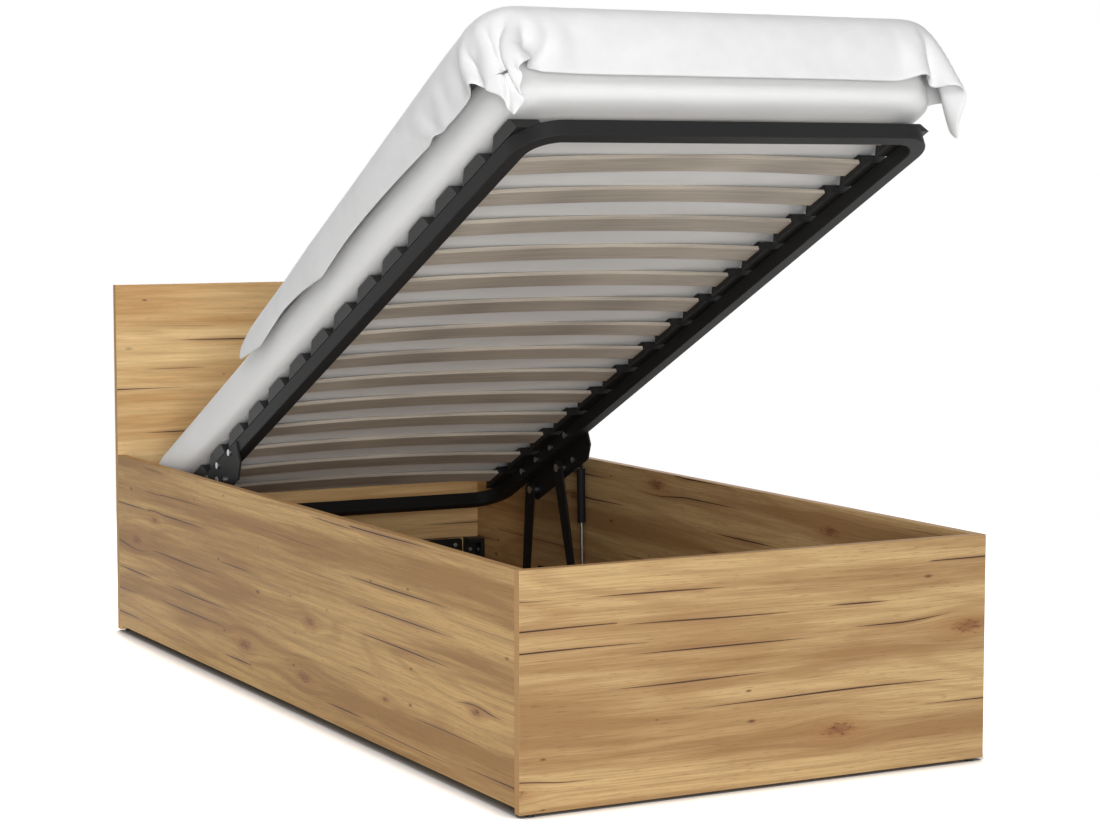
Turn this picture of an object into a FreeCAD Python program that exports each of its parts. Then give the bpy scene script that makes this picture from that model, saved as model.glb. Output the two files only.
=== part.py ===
"""Storage bed: a board box whose tube-framed sleeping deck lifts on levers and gas springs.

Millimetres. X is the bed's width, +Y runs to the headboard, +Z is up.
The origin is the centre of the footprint, on the floor. The deck is drawn lifted.
"""
import FreeCAD
import Part
import math
import os

V = FreeCAD.Vector
X_AXIS = V(1, 0, 0)
Y_AXIS = V(0, 1, 0)

# Mattress: its size drives the bed's
MATTRESS_WIDTH = 900.0
MATTRESS_LENGTH = 2000.0
MATTRESS_THICK = 105.0
MATTRESS_EDGE_ROUND = 30.0
MATTRESS_CORNER_ROUND = 60.0
MATTRESS_CROWN = 5.0
MATTRESS_DRAWN_IN = 4.0
MATTRESS_EASE = 1.5
SOFT_GAP = 0.4

# Bed box
MATTRESS_SIDE_ROOM = 7.0
MATTRESS_END_ROOM = 12.0
BOARD = 18.0
BOARD_EDGE_ROUND = 1.0
HEADBOARD_HEIGHT = 805.0
FOOTBOARD_HEIGHT = 410.0
SIDE_BOTTOM = 15.0
GLIDE_HEIGHT = 5.0
GLIDE_RADIUS = 8.0
GLIDE_INSET = 24.0

# Storage floor
FLOOR_SHEET = 3.0
FLOOR_PLAY = 1.0
CLEAT = 20.0
BATTEN_WIDTH = 60.0

# Corner fittings
BLOCK_SIDE = 40.0
BLOCK_HEIGHT = 60.0
BLOCK_BOTTOM = 105.0
DOWEL_RADIUS = 4.0
DOWEL_LENGTH = 34.0
DOWEL_IN_END_BOARD = 12.0
DOWEL_PLAY = 0.05
DOWEL_FROM_EDGE = 50.0
HEAD_PLATE_WIDTH = 100.0
HEAD_PLATE_HEIGHT = 120.0
HEAD_PLATE_TOP = 163.0
HEAD_PLATE_INSET = 94.0
HEAD_PLATE_ROUND = 8.0
HEAD_PLATE_SCREW_PITCH = 62.0
HEAD_PLATE_SCREW_DROP = 16.0
PLATE = 3.0
SCREW_HEAD_RADIUS = 5.0
SCREW_HEAD = 2.4
SCREW_RADIUS = 2.2
SCREW_LENGTH = 14.0
HOLE_PLAY = 0.1

# Deck frame, measured with the deck closed
FRAME_SIDE_INSET = 30.0
FRAME_FOOT_INSET = 12.0
FRAME_HEAD_INSET = 18.0
FRAME_DEPTH = 90.0
TUBE = 30.0
TUBE_WALL = 1.5
TUBE_EDGE_ROUND = 3.0
BEND_RADIUS = 65.0
BEND_STUB = 60.0
JOINER_LENGTH = 100.0
JOINER_PLAY = 0.3

# Slats and their holders
SLAT_COUNT = 15
FIRST_SLAT = 83.0
LAST_SLAT = 102.0
SLAT_WIDTH = 55.0
SLAT_THICK = 8.0
SLAT_END_INSET = 18.0
SLAT_CAMBER = 12.0
SLAT_EDGE_ROUND = 1.5
SLAT_SEAT = 8.0
SLAT_PLAY = 0.4
HOLDER_BASE = 102.0
HOLDER_TOP = 64.0
HOLDER_HEIGHT = 26.0
HOLDER_DEPTH = 54.0
HOLDER_ROUND = 9.0

# Duvet
BARE_MATTRESS = 730.0
DUVET_SIDE = 16.0
DUVET_HEAD_THICK = 14.0
DUVET_FOOT_THICK = 72.0
DUVET_EDGE_ROUND = 15.0
DUVET_HEM = 94.0
DUVET_HEM_WAVE = 9.0
DUVET_SIDE_FOLDS = 5
DUVET_FOOT_HEM = 104.0
DUVET_FOOT_WAVE = 30.0
DUVET_FOOT_FOLDS = 3
DUVET_FOLD = 6.0
DUVET_EASE = 1.5

# Lift: the pole about which the closed frame turns to the lifted one
LIFT_ANGLE = 26.0
LIFT_POLE_INSET = 215.4
LIFT_POLE_RISE = 334.4

# Lift gear
LEVER_PIVOT_INSET = 612.0
LEVER_PIVOT_Z = 100.0
REAR_PIN_INSET = 232.0
REAR_PIVOT_Z = 60.0
GAS_PIVOT_BEHIND = 30.0
GAS_PIVOT_Z = 60.0
PIN_DROP = 30.0
GAS_PIN_AHEAD = 50.0
LEVER_THICK = 5.0
LEVER_INSET = 13.0
LEVER_LOW_RADIUS = 14.0
LEVER_TOP_RADIUS = 20.0
LINK_LOW_RADIUS = 14.0
LINK_TOP_RADIUS = 16.0
PIVOT_RADIUS = 6.0
SMALL_PIVOT_RADIUS = 4.0
PIVOT_PLAY = 0.05
SIDE_PLAY = 0.4
OPEN_PIVOT_PLAY = 1.5
COLLAR = 3.0
PIN_HEAD = 3.0
BRACKET_THICK = 4.0
BRACKET_FRONT = 140.0
BRACKET_REAR = 38.0
BRACKET_RISE = 24.0
BRACKET_DROP = 52.0
BRACKET_CORNER = 26.0
BOLT_RADIUS = 4.0
BOLT_HEAD_RADIUS = 7.0
BOLT_HEAD = 4.0
NUT_THICK = 6.0
BOLT_END = 45.0
BOLT_COUNT = 4
BASE_PLATE_MARGIN = 34.0
BASE_PLATE_TOP = 135.0
BASE_PLATE_ROUND = 12.0

# Gas spring
GAS_TUBE_RADIUS = 9.5
GAS_TUBE_WALL = 1.5
GAS_TUBE_LENGTH = 125.0
GAS_NECK = 20.0
GAS_NECK_RADIUS = 4.0
GAS_GLAND = 6.0
GAS_ROD_RADIUS = 4.0
GAS_ROD_INSIDE = 27.0
GAS_PISTON = 6.0
GAS_PISTON_PLAY = 0.1
GAS_EYE_RADIUS = 9.0
GAS_EYE_THICK = 10.0
GAS_OUTSET = 16.0

# Within this far, two places are the same
NEAR = 0.01

MATTRESS_FOOT = -MATTRESS_LENGTH / 2
MATTRESS_HEAD = MATTRESS_LENGTH / 2
INNER_X = MATTRESS_WIDTH / 2 + MATTRESS_SIDE_ROOM
INNER_Y = MATTRESS_LENGTH / 2 + MATTRESS_END_ROOM
OUTER_X = INNER_X + BOARD
OUTER_Y = INNER_Y + BOARD
END_BOTTOM = GLIDE_HEIGHT
BOX_TOP = END_BOTTOM + FOOTBOARD_HEIGHT
FLOOR_TOP = SIDE_BOTTOM + CLEAT + FLOOR_SHEET
RAIL_OUT = MATTRESS_WIDTH / 2 - FRAME_SIDE_INSET
RAIL_IN = RAIL_OUT - TUBE
RAIL_X = RAIL_OUT - TUBE / 2
FRAME_FOOT = MATTRESS_FOOT + FRAME_FOOT_INSET
FRAME_HEAD = MATTRESS_HEAD - FRAME_HEAD_INSET
FRAME_BOTTOM = BOX_TOP - FRAME_DEPTH
RAIL_TOP = FRAME_BOTTOM + TUBE
SLAT_PITCH = (FRAME_HEAD - LAST_SLAT - FRAME_FOOT - FIRST_SLAT) / (SLAT_COUNT - 1)
SLAT_REACH = RAIL_OUT - SLAT_END_INSET
SLAT_BOTTOM = RAIL_TOP + SLAT_SEAT
MATTRESS_BOTTOM = SLAT_BOTTOM + SLAT_THICK + SLAT_CAMBER + SOFT_GAP
MATTRESS_TOP = MATTRESS_BOTTOM + MATTRESS_THICK
BRACKET_FACE = RAIL_OUT + BRACKET_THICK
LEVER_OUT = RAIL_OUT - LEVER_INSET
LEVER_IN = LEVER_OUT - LEVER_THICK
GAS_X = BRACKET_FACE + GAS_OUTSET


# Shared shape helpers
def box(x0, x1, y0, y1, z0, z1):
    """A block between two corners."""
    return Part.makeBox(x1 - x0, y1 - y0, z1 - z0, V(x0, y0, z0))


def rod_x(x0, x1, centre, radius):
    """A round bar along X, its centre given as (y, z)."""
    return Part.makeCylinder(radius, x1 - x0, V(x0, centre[0], centre[1]), X_AXIS)


def rounded_block(x0, x1, y0, y1, z0, z1, radius):
    """A block with every edge rounded."""
    block = box(x0, x1, y0, y1, z0, z1)
    return block.makeFillet(radius, block.Edges)


def outline_yz(points, x0, x1):
    """A plate cut to an outline of (y, z) points, between two X planes."""
    corners = [V(x0, y, z) for y, z in points]
    face = Part.Face(Part.makePolygon(corners + corners[:1]))
    return face.extrude(V(x1 - x0, 0, 0))


def runs_along(edge, axis):
    """Whether an edge runs along an axis."""
    return math.isclose(abs(edge.tangentAt(edge.FirstParameter).dot(axis)), 1)


def round_x_edges(plate, radius):
    """Rounds the plate's corners that run along X."""
    edges = [e for e in plate.Edges if runs_along(e, X_AXIS)]
    return plate.makeFillet(radius, edges)


def strap(low, low_radius, top, top_radius, x0, x1):
    """A flat bar whose two round ends are joined by tangent sides."""
    length = math.dist(low, top)
    along = math.atan2(top[1] - low[1], top[0] - low[0])
    spread = math.acos((low_radius - top_radius) / length)

    def rim(centre, radius, angle):
        return V(x0, centre[0] + radius * math.cos(angle), centre[1] + radius * math.sin(angle))

    a0 = rim(low, low_radius, along + spread)
    a1 = rim(top, top_radius, along + spread)
    b0 = rim(low, low_radius, along - spread)
    b1 = rim(top, top_radius, along - spread)
    edges = [
        Part.LineSegment(a0, a1).toShape(),
        Part.Arc(a1, rim(top, top_radius, along), b1).toShape(),
        Part.LineSegment(b1, b0).toShape(),
        Part.Arc(b0, rim(low, low_radius, along + math.pi), a0).toShape(),
    ]
    return Part.Face(Part.Wire(edges)).extrude(V(x1 - x0, 0, 0))


def mirrored(shape):
    """The same piece on the bed's other side."""
    return shape.mirror(V(0, 0, 0), X_AXIS)


def turned(point, centre, degrees):
    """A (y, z) point turned about another one."""
    angle = math.radians(degrees)
    dy = point[0] - centre[0]
    dz = point[1] - centre[1]
    return (centre[0] + dy * math.cos(angle) - dz * math.sin(angle),
            centre[1] + dy * math.sin(angle) + dz * math.cos(angle))


def write(name, *solids):
    """Writes one sub-part, as one solid or a group of them."""
    shape = solids[0] if len(solids) == 1 else Part.makeCompound(list(solids))
    shape.exportStep("parts/" + name + ".step")


def write_pair(name, *solids):
    """Writes a right-hand sub-part and its left-hand mirror image."""
    write("right_" + name, *solids)
    write("left_" + name, *[mirrored(s) for s in solids])


# Lift geometry: the deck turns from closed to lifted about one pole
POLE = (FRAME_HEAD - LIFT_POLE_INSET, FRAME_BOTTOM + LIFT_POLE_RISE)


def lifted_point(point):
    """Where a (y, z) point of the closed deck is once the deck is lifted."""
    return turned(point, POLE, -LIFT_ANGLE)


def lifted(shape):
    """A closed deck's piece, moved to where it is once the deck is lifted."""
    moved = shape.copy()
    moved.rotate(V(0, POLE[0], POLE[1]), X_AXIS, -LIFT_ANGLE)
    return moved


PIN_LINE = FRAME_BOTTOM - PIN_DROP
LEVER_PIVOT = (INNER_Y - LEVER_PIVOT_INSET, LEVER_PIVOT_Z)
GAS_PIVOT = (LEVER_PIVOT[0] + GAS_PIVOT_BEHIND, GAS_PIVOT_Z)


def lever_pin_closed():
    """The lever's upper pin on the pin line, equally far from its pivot closed and lifted."""
    bearing = math.atan2(LEVER_PIVOT[1] - POLE[1], LEVER_PIVOT[0] - POLE[0])
    bearing += math.radians(LIFT_ANGLE / 2)
    return (POLE[0] + (PIN_LINE - POLE[1]) / math.tan(bearing), PIN_LINE)


LEVER_PIN = lever_pin_closed()
REAR_PIN = (INNER_Y - REAR_PIN_INSET, PIN_LINE)
GAS_PIN = (LEVER_PIN[0] - GAS_PIN_AHEAD, PIN_LINE)


def rear_pivot():
    """The rear link's lower pivot, equally far from its pin closed and lifted."""
    up = lifted_point(REAR_PIN)
    step_y = up[0] - REAR_PIN[0]
    step_z = up[1] - REAR_PIN[1]
    middle = ((up[0] + REAR_PIN[0]) / 2, (up[1] + REAR_PIN[1]) / 2)
    return (middle[0] - (REAR_PIVOT_Z - middle[1]) * step_z / step_y, REAR_PIVOT_Z)


REAR_PIVOT = rear_pivot()


def bearing(start, end):
    """The direction from one (y, z) point to another, in degrees."""
    return math.degrees(math.atan2(end[1] - start[1], end[0] - start[0]))


def half_way_pin(pin):
    """Where a pin of the deck is at half travel, with lever and deck each half way round."""
    swing = bearing(LEVER_PIVOT, LEVER_PIN) - bearing(LEVER_PIVOT, lifted_point(LEVER_PIN))
    lever_pin = turned(lifted_point(LEVER_PIN), LEVER_PIVOT, swing / 2)
    offset = turned((pin[0] - LEVER_PIN[0], pin[1] - LEVER_PIN[1]), (0, 0), -LIFT_ANGLE / 2)
    return (lever_pin[0] + offset[0], lever_pin[1] + offset[1])


def rear_slip():
    """How far the rear pin wanders from its eye at half travel, seen on the lifted link."""
    up = lifted_point(REAR_PIN)
    swing = bearing(REAR_PIVOT, REAR_PIN) - bearing(REAR_PIVOT, up)
    seen = turned(half_way_pin(REAR_PIN), REAR_PIVOT, -swing / 2)
    return (seen[0] - up[0], seen[1] - up[1])


def gas_slip():
    """How far the gas spring's lower pin wanders in its eye at half travel, seen lifted."""
    pin_up = lifted_point(GAS_PIN)
    angle_up = bearing(pin_up, GAS_PIVOT)
    angle_down = bearing(GAS_PIN, GAS_PIVOT)
    length = (math.dist(pin_up, GAS_PIVOT) + math.dist(GAS_PIN, GAS_PIVOT)) / 2
    middle = half_way_pin(GAS_PIN)
    turn = (angle_up + angle_down) / 2
    eye = (middle[0] + length * math.cos(math.radians(turn)),
           middle[1] + length * math.sin(math.radians(turn)))
    return turned((GAS_PIVOT[0] - eye[0], GAS_PIVOT[1] - eye[1]), (0, 0), angle_up - turn)


# Bed box
def end_board(sign, height):
    """The headboard (sign 1) or the footboard (sign -1), with its dowel holes."""
    low, high = sorted((sign * INNER_Y, sign * OUTER_Y))
    board = rounded_block(-OUTER_X, OUTER_X, low, high, END_BOTTOM, END_BOTTOM + height, BOARD_EDGE_ROUND)
    return board.cut(Part.makeCompound(corner_dowels(sign, DOWEL_PLAY)))


def side_board():
    """The right side board between the two end boards, with its dowel holes."""
    board = box(INNER_X, OUTER_X, -INNER_Y, INNER_Y, SIDE_BOTTOM, BOX_TOP)
    edges = [e for e in board.Edges if runs_along(e, Y_AXIS)]
    board = board.makeFillet(BOARD_EDGE_ROUND, edges)
    return board.cut(Part.makeCompound(corner_dowels(1, DOWEL_PLAY) + corner_dowels(-1, DOWEL_PLAY)))


def corner_dowels(sign, play):
    """Dowels that cross the joint of one end board and both side boards."""
    dowels = []
    start = sign * (INNER_Y + DOWEL_IN_END_BOARD)
    for side in (-1, 1):
        for level in (SIDE_BOTTOM + DOWEL_FROM_EDGE, BOX_TOP - DOWEL_FROM_EDGE):
            centre = V(side * (INNER_X + BOARD / 2), start, level)
            dowels.append(Part.makeCylinder(DOWEL_RADIUS + play, DOWEL_LENGTH, centre, V(0, -sign, 0)))
    return dowels


def screw(start, direction, grip):
    """A wood screw: its head stands on the surface, its shank passes the grip and bites beyond."""
    head = Part.makeCylinder(SCREW_HEAD_RADIUS, SCREW_HEAD, start, -direction)
    rim = [e for e in head.Edges if (e.CenterOfMass - start).dot(-direction) > SCREW_HEAD / 2
           and isinstance(e.Curve, Part.Circle)]
    head = head.makeFillet(SCREW_HEAD / 2, rim)
    shank = Part.makeCylinder(SCREW_RADIUS, grip + SCREW_LENGTH, start, direction)
    return head.fuse(shank).removeSplitter()


def corner_block_parts():
    """The four inner corner blocks and the two screws in each."""
    blocks = []
    screws = []
    low = BLOCK_BOTTOM
    top = BLOCK_BOTTOM + BLOCK_HEIGHT
    middle = (low + top) / 2
    half = BLOCK_SIDE / 2
    wall = BLOCK_SIDE / 4
    for sx in (-1, 1):
        for sy in (-1, 1):
            x0, x1 = sorted((sx * INNER_X, sx * (INNER_X - BLOCK_SIDE)))
            y0, y1 = sorted((sy * INNER_Y, sy * (INNER_Y - BLOCK_SIDE)))
            block = box(x0, x1, y0, y1, low, top)
            hx0, hx1 = sorted((sx * (INNER_X - wall), sx * (INNER_X - BLOCK_SIDE)))
            hy0, hy1 = sorted((sy * (INNER_Y - wall), sy * (INNER_Y - BLOCK_SIDE)))
            block = block.cut(box(hx0, hx1, hy0, hy1, low + wall, top - wall))
            to_side = V(sx, 0, 0)
            to_end = V(0, sy, 0)
            heads = [(V(sx * (INNER_X - wall), sy * (INNER_Y - half - wall / 2), middle), to_side),
                     (V(sx * (INNER_X - half - wall / 2), sy * (INNER_Y - wall), middle), to_end)]
            for start, direction in heads:
                block = block.cut(Part.makeCylinder(SCREW_RADIUS + HOLE_PLAY, wall, start, direction))
                screws.append(screw(start, direction, wall))
            blocks.append(block)
    return blocks, screws


def headboard_plate_parts():
    """Two steel plates on the headboard's inner face, and their screws."""
    plates = []
    screws = []
    for sx in (-1, 1):
        centre = sx * (INNER_X - HEAD_PLATE_INSET)
        x0 = centre - HEAD_PLATE_WIDTH / 2
        x1 = centre + HEAD_PLATE_WIDTH / 2
        plate = box(x0, x1, INNER_Y - PLATE, INNER_Y, HEAD_PLATE_TOP - HEAD_PLATE_HEIGHT, HEAD_PLATE_TOP)
        edges = [e for e in plate.Edges if runs_along(e, Y_AXIS)]
        plate = plate.makeFillet(HEAD_PLATE_ROUND, edges)
        for step in (-0.5, 0.5):
            start = V(centre + step * HEAD_PLATE_SCREW_PITCH, INNER_Y - PLATE,
                      HEAD_PLATE_TOP - HEAD_PLATE_SCREW_DROP)
            hole = Part.makeCylinder(SCREW_RADIUS + HOLE_PLAY, PLATE, start, Y_AXIS)
            plate = plate.cut(hole)
            screws.append(screw(start, Y_AXIS, PLATE))
        plates.append(plate)
    return plates, screws


def glides():
    """Plastic glides under both ends of the headboard and the footboard."""
    pads = []
    for sx in (-1, 1):
        for sy in (-1, 1):
            centre = V(sx * (OUTER_X - GLIDE_INSET), sy * (OUTER_Y - BOARD / 2), 0)
            pads.append(Part.makeCylinder(GLIDE_RADIUS, GLIDE_HEIGHT, centre))
    return pads


def storage_floor():
    """Two floor sheets, and the cleats and cross batten that carry them."""
    low = SIDE_BOTTOM
    top = SIDE_BOTTOM + CLEAT
    reach_x = INNER_X - FLOOR_PLAY
    reach_y = INNER_Y - FLOOR_PLAY
    write("storage_floor_foot", box(-reach_x, reach_x, -reach_y, -FLOOR_PLAY / 2, top, FLOOR_TOP))
    write("storage_floor_head", box(-reach_x, reach_x, FLOOR_PLAY / 2, reach_y, top, FLOOR_TOP))
    write_pair("floor_cleat", box(INNER_X - CLEAT, INNER_X, -INNER_Y, INNER_Y, low, top))
    inside = INNER_X - CLEAT
    write("foot_floor_cleat", box(-inside, inside, -INNER_Y, -INNER_Y + CLEAT, low, top))
    write("head_floor_cleat", box(-inside, inside, INNER_Y - CLEAT, INNER_Y, low, top))
    write("floor_cross_batten", box(-inside, inside, -BATTEN_WIDTH / 2, BATTEN_WIDTH / 2, low, top))


# Deck frame
def tube_section(centre):
    """The tube's hollow square section as a face, at a point, square to Y."""
    def square(side, radius):
        half = side / 2
        block = box(centre.x - half, centre.x + half, centre.y, centre.y + half,
                    centre.z - half, centre.z + half)
        edges = [e for e in block.Edges if runs_along(e, Y_AXIS)]
        block = block.makeFillet(radius, edges)
        faces = [f for f in block.Faces if abs(f.CenterOfMass.y - centre.y) < NEAR]
        return faces[0].OuterWire
    ring = [square(TUBE, TUBE_EDGE_ROUND), square(TUBE - 2 * TUBE_WALL, TUBE_EDGE_ROUND - TUBE_WALL)]
    return Part.Face(ring[0]).cut(Part.Face(ring[1])).Faces[0]


def straight_tube(x, y0, y1):
    """A straight length of the tube along Y."""
    return tube_section(V(x, y0, FRAME_BOTTOM + TUBE / 2)).extrude(V(0, y1 - y0, 0))


def end_rail(sign):
    """The bent rail at the head (sign 1) or the foot (sign -1), with a stub for each side rail."""
    end = FRAME_HEAD if sign > 0 else FRAME_FOOT
    bend_x = RAIL_X - BEND_RADIUS
    bend_start = end - sign * (TUBE / 2 + BEND_RADIUS)
    stub_end = bend_start - sign * BEND_STUB
    middle = FRAME_BOTTOM + TUBE / 2
    stub = straight_tube(RAIL_X, stub_end, bend_start)
    bend = tube_section(V(RAIL_X, bend_start, middle))
    bend = bend.revolve(V(bend_x, bend_start, middle), V(0, 0, 1), sign * 90)
    cross_face = [f for f in bend.Faces if math.isclose(abs(f.normalAt(0, 0).x), 1)
                  and abs(f.CenterOfMass.x - bend_x) < NEAR][0]
    cross = cross_face.extrude(V(-bend_x, 0, 0))
    half = stub.fuse([bend, cross])
    return half.fuse(mirrored(half)).removeSplitter()


SPLICE_FOOT = FRAME_FOOT + TUBE / 2 + BEND_RADIUS + BEND_STUB
SPLICE_HEAD = FRAME_HEAD - TUBE / 2 - BEND_RADIUS - BEND_STUB


def tube_joiners():
    """Square plugs inside the tubes, half in the side rail and half in the bent rail's stub."""
    side = TUBE - 2 * TUBE_WALL - 2 * JOINER_PLAY
    middle = FRAME_BOTTOM + TUBE / 2
    plugs = []
    for sx in (-1, 1):
        for y in (SPLICE_FOOT, SPLICE_HEAD):
            plug = box(sx * RAIL_X - side / 2, sx * RAIL_X + side / 2,
                       y - JOINER_LENGTH / 2, y + JOINER_LENGTH / 2, middle - side / 2, middle + side / 2)
            edges = [e for e in plug.Edges if runs_along(e, Y_AXIS)]
            plugs.append(plug.makeFillet(TUBE_EDGE_ROUND - TUBE_WALL, edges))
    return plugs


def bolt_places():
    """Where the lift bracket's bolts cross the side rail, along Y."""
    first = LEVER_PIN[0] - BRACKET_FRONT + BOLT_END
    last = REAR_PIN[0] + BRACKET_REAR - BOLT_END
    step = (last - first) / (BOLT_COUNT - 1)
    return [first + i * step for i in range(BOLT_COUNT)]


BOLT_LEVEL = FRAME_BOTTOM + TUBE / 2


def side_rail():
    """The right side rail, drilled for the lift bracket's bolts."""
    rail = straight_tube(RAIL_X, SPLICE_FOOT, SPLICE_HEAD)
    for y in bolt_places():
        rail = rail.cut(rod_x(RAIL_IN, RAIL_OUT, (y, BOLT_LEVEL), BOLT_RADIUS + HOLE_PLAY))
    return rail


# Slats
def slat_place(index):
    """The middle of a slat along Y, counted from the foot."""
    return FRAME_FOOT + FIRST_SLAT + index * SLAT_PITCH


def arched_slat(y, play):
    """One arched slat across the frame, or with play the pocket that holds it."""
    radius = (SLAT_REACH ** 2 + SLAT_CAMBER ** 2) / (2 * SLAT_CAMBER)
    spread = math.degrees(math.asin(SLAT_REACH / radius))
    low = SLAT_BOTTOM + SLAT_CAMBER
    reach = SLAT_WIDTH / 2 + play
    strip = box(0, SLAT_THICK, y - reach, y + reach, low - play, low + SLAT_THICK + play)
    strip = round_x_edges(strip, SLAT_EDGE_ROUND + play)
    section = [f for f in strip.Faces if abs(f.CenterOfMass.x) < NEAR][0]
    centre = V(0, y, low - radius)
    section.rotate(centre, Y_AXIS, -spread)
    return section.revolve(centre, Y_AXIS, 2 * spread)


def slat_holder(y):
    """The right-hand plastic holder of one slat, seated on the side rail."""
    top = RAIL_TOP + HOLDER_HEIGHT
    outline = [(y - HOLDER_BASE / 2, RAIL_TOP), (y + HOLDER_BASE / 2, RAIL_TOP),
               (y + HOLDER_TOP / 2, top), (y - HOLDER_TOP / 2, top)]
    holder = outline_yz(outline, RAIL_OUT - HOLDER_DEPTH, RAIL_OUT)
    shoulders = [e for e in holder.Edges if runs_along(e, X_AXIS)
                 and e.CenterOfMass.z > RAIL_TOP + HOLDER_HEIGHT / 2]
    holder = holder.makeFillet(HOLDER_ROUND, shoulders)
    return holder.cut(arched_slat(y, SLAT_PLAY))


# Mattress and duvet
def arc_wire(*runs):
    """A closed wire from runs of two points (a line) or three points (an arc)."""
    edges = []
    for run in runs:
        curve = Part.LineSegment(*run) if len(run) == 2 else Part.Arc(*run)
        edges.append(curve.toShape())
    return Part.Wire(edges)


def bowed_outline(half, y0, y1, z):
    """The mattress seen from above: rounded corners, sides that draw in between them."""
    bow = MATTRESS_DRAWN_IN
    c = MATTRESS_CORNER_ROUND
    k = c * (1 - math.sqrt(0.5))
    middle = (y0 + y1) / 2
    return arc_wire(
        (V(-half + c, y0, z), V(0, y0 + bow, z), V(half - c, y0, z)),
        (V(half - c, y0, z), V(half - k, y0 + k, z), V(half, y0 + c, z)),
        (V(half, y0 + c, z), V(half - bow, middle, z), V(half, y1 - c, z)),
        (V(half, y1 - c, z), V(half - k, y1 - k, z), V(half - c, y1, z)),
        (V(half - c, y1, z), V(0, y1 - bow, z), V(-half + c, y1, z)),
        (V(-half + c, y1, z), V(-half + k, y1 - k, z), V(-half, y1 - c, z)),
        (V(-half, y1 - c, z), V(-half + bow, middle, z), V(-half, y0 + c, z)),
        (V(-half, y0 + c, z), V(-half + k, y0 + k, z), V(-half + c, y0, z)))


def cushion_profile(near, far, low, edge_top, crown_top, place):
    """A cushion's cross-section: round edges, and a top that rises to its crown."""
    r = MATTRESS_EDGE_ROUND
    k = r * (1 - math.sqrt(0.5))
    middle = (near + far) / 2

    def at(run, z):
        return place(run, z)

    return arc_wire(
        (at(near + r, low), at(far - r, low)),
        (at(far - r, low), at(far - k, low + k), at(far, low + r)),
        (at(far, low + r), at(far, edge_top - r)),
        (at(far, edge_top - r), at(far - k, edge_top - k), at(far - r, edge_top)),
        (at(far - r, edge_top), at(middle, crown_top), at(near + r, edge_top)),
        (at(near + r, edge_top), at(near + k, edge_top - k), at(near, edge_top - r)),
        (at(near, edge_top - r), at(near, low + r)),
        (at(near, low + r), at(near + k, low + k), at(near + r, low)))


def mattress_body(extra):
    """The mattress with drawn-in sides and a crown, or with extra the space around it."""
    half = MATTRESS_WIDTH / 2 + extra
    foot = MATTRESS_FOOT - extra
    head = MATTRESS_HEAD + extra
    low = MATTRESS_BOTTOM - extra
    top = MATTRESS_TOP + extra
    edge_top = top - MATTRESS_CROWN
    plan = Part.Face(bowed_outline(half, foot, head, low)).extrude(V(0, 0, top - low))
    wide = half + MATTRESS_EASE
    front = foot - MATTRESS_EASE
    back = head + MATTRESS_EASE
    across = cushion_profile(-wide, wide, low, edge_top, top, lambda run, z: V(run, front, z))
    across = Part.Face(across).extrude(V(0, back - front, 0))
    along = cushion_profile(front, back, low, edge_top, top + MATTRESS_EASE, lambda run, z: V(-wide, run, z))
    along = Part.Face(along).extrude(V(2 * wide, 0, 0))
    return plan.common(across).common(along).Solids[0]


DUVET_HEAD = MATTRESS_HEAD - BARE_MATTRESS


def fold_runs(start, end, folds, bulge):
    """Arcs from one (x, y) point to another, each swelling to the right of the way there."""
    run_x = (end[0] - start[0]) / folds
    run_y = (end[1] - start[1]) / folds
    step = math.hypot(run_x, run_y)
    out_x = run_y / step * bulge
    out_y = -run_x / step * bulge
    arcs = []
    for i in range(folds):
        a = (start[0] + i * run_x, start[1] + i * run_y)
        b = (a[0] + run_x, a[1] + run_y)
        arcs.append((a, ((a[0] + b[0]) / 2 + out_x, (a[1] + b[1]) / 2 + out_y), b))
    return arcs


def folded_prism(half, foot, head, low, top):
    """An upright prism whose sides and foot hang in soft folds."""
    in_x = half - DUVET_FOLD
    in_foot = foot + DUVET_FOLD
    runs = fold_runs((-in_x, in_foot), (in_x, in_foot), DUVET_FOOT_FOLDS, DUVET_FOLD)
    runs += fold_runs((in_x, in_foot), (in_x, head), DUVET_SIDE_FOLDS, DUVET_FOLD)
    runs.append(((in_x, head), (-in_x, head)))
    runs += fold_runs((-in_x, head), (-in_x, in_foot), DUVET_SIDE_FOLDS, DUVET_FOLD)
    wire = arc_wire(*[[V(x, y, low) for x, y in run] for run in runs])
    return Part.Face(wire).extrude(V(0, 0, top - low))


def waved_cutter(start, end, level, wave, folds, depth, place):
    """A block below a hem, whose upper face rises in one arc to each fold."""
    step = (end - start) / folds
    floor = FRAME_BOTTOM
    runs = []
    for i in range(folds):
        a = start + i * step
        runs.append((place(a, level), place(a + step / 2, level + wave), place(a + step, level)))
    runs.append((place(end, level), place(end, floor)))
    runs.append((place(end, floor), place(start, floor)))
    runs.append((place(start, floor), place(start, level)))
    return Part.Face(arc_wire(*runs)).extrude(depth)


def duvet_section(half, y, low, thick):
    """The duvet's outline across the bed at one place along it."""
    top = MATTRESS_TOP + SOFT_GAP + thick
    bend = DUVET_EDGE_ROUND + thick / 2
    k = bend * (1 - math.sqrt(0.5))
    shoulder = top - bend
    return arc_wire(
        (V(-half, y, low), V(half, y, low)),
        (V(half, y, low), V(half, y, shoulder)),
        (V(half, y, shoulder), V(half - k, y, top - k), V(half - bend, y, top)),
        (V(half - bend, y, top), V(-half + bend, y, top)),
        (V(-half + bend, y, top), V(-half + k, y, top - k), V(-half, y, shoulder)),
        (V(-half, y, shoulder), V(-half, y, low)))


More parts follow.
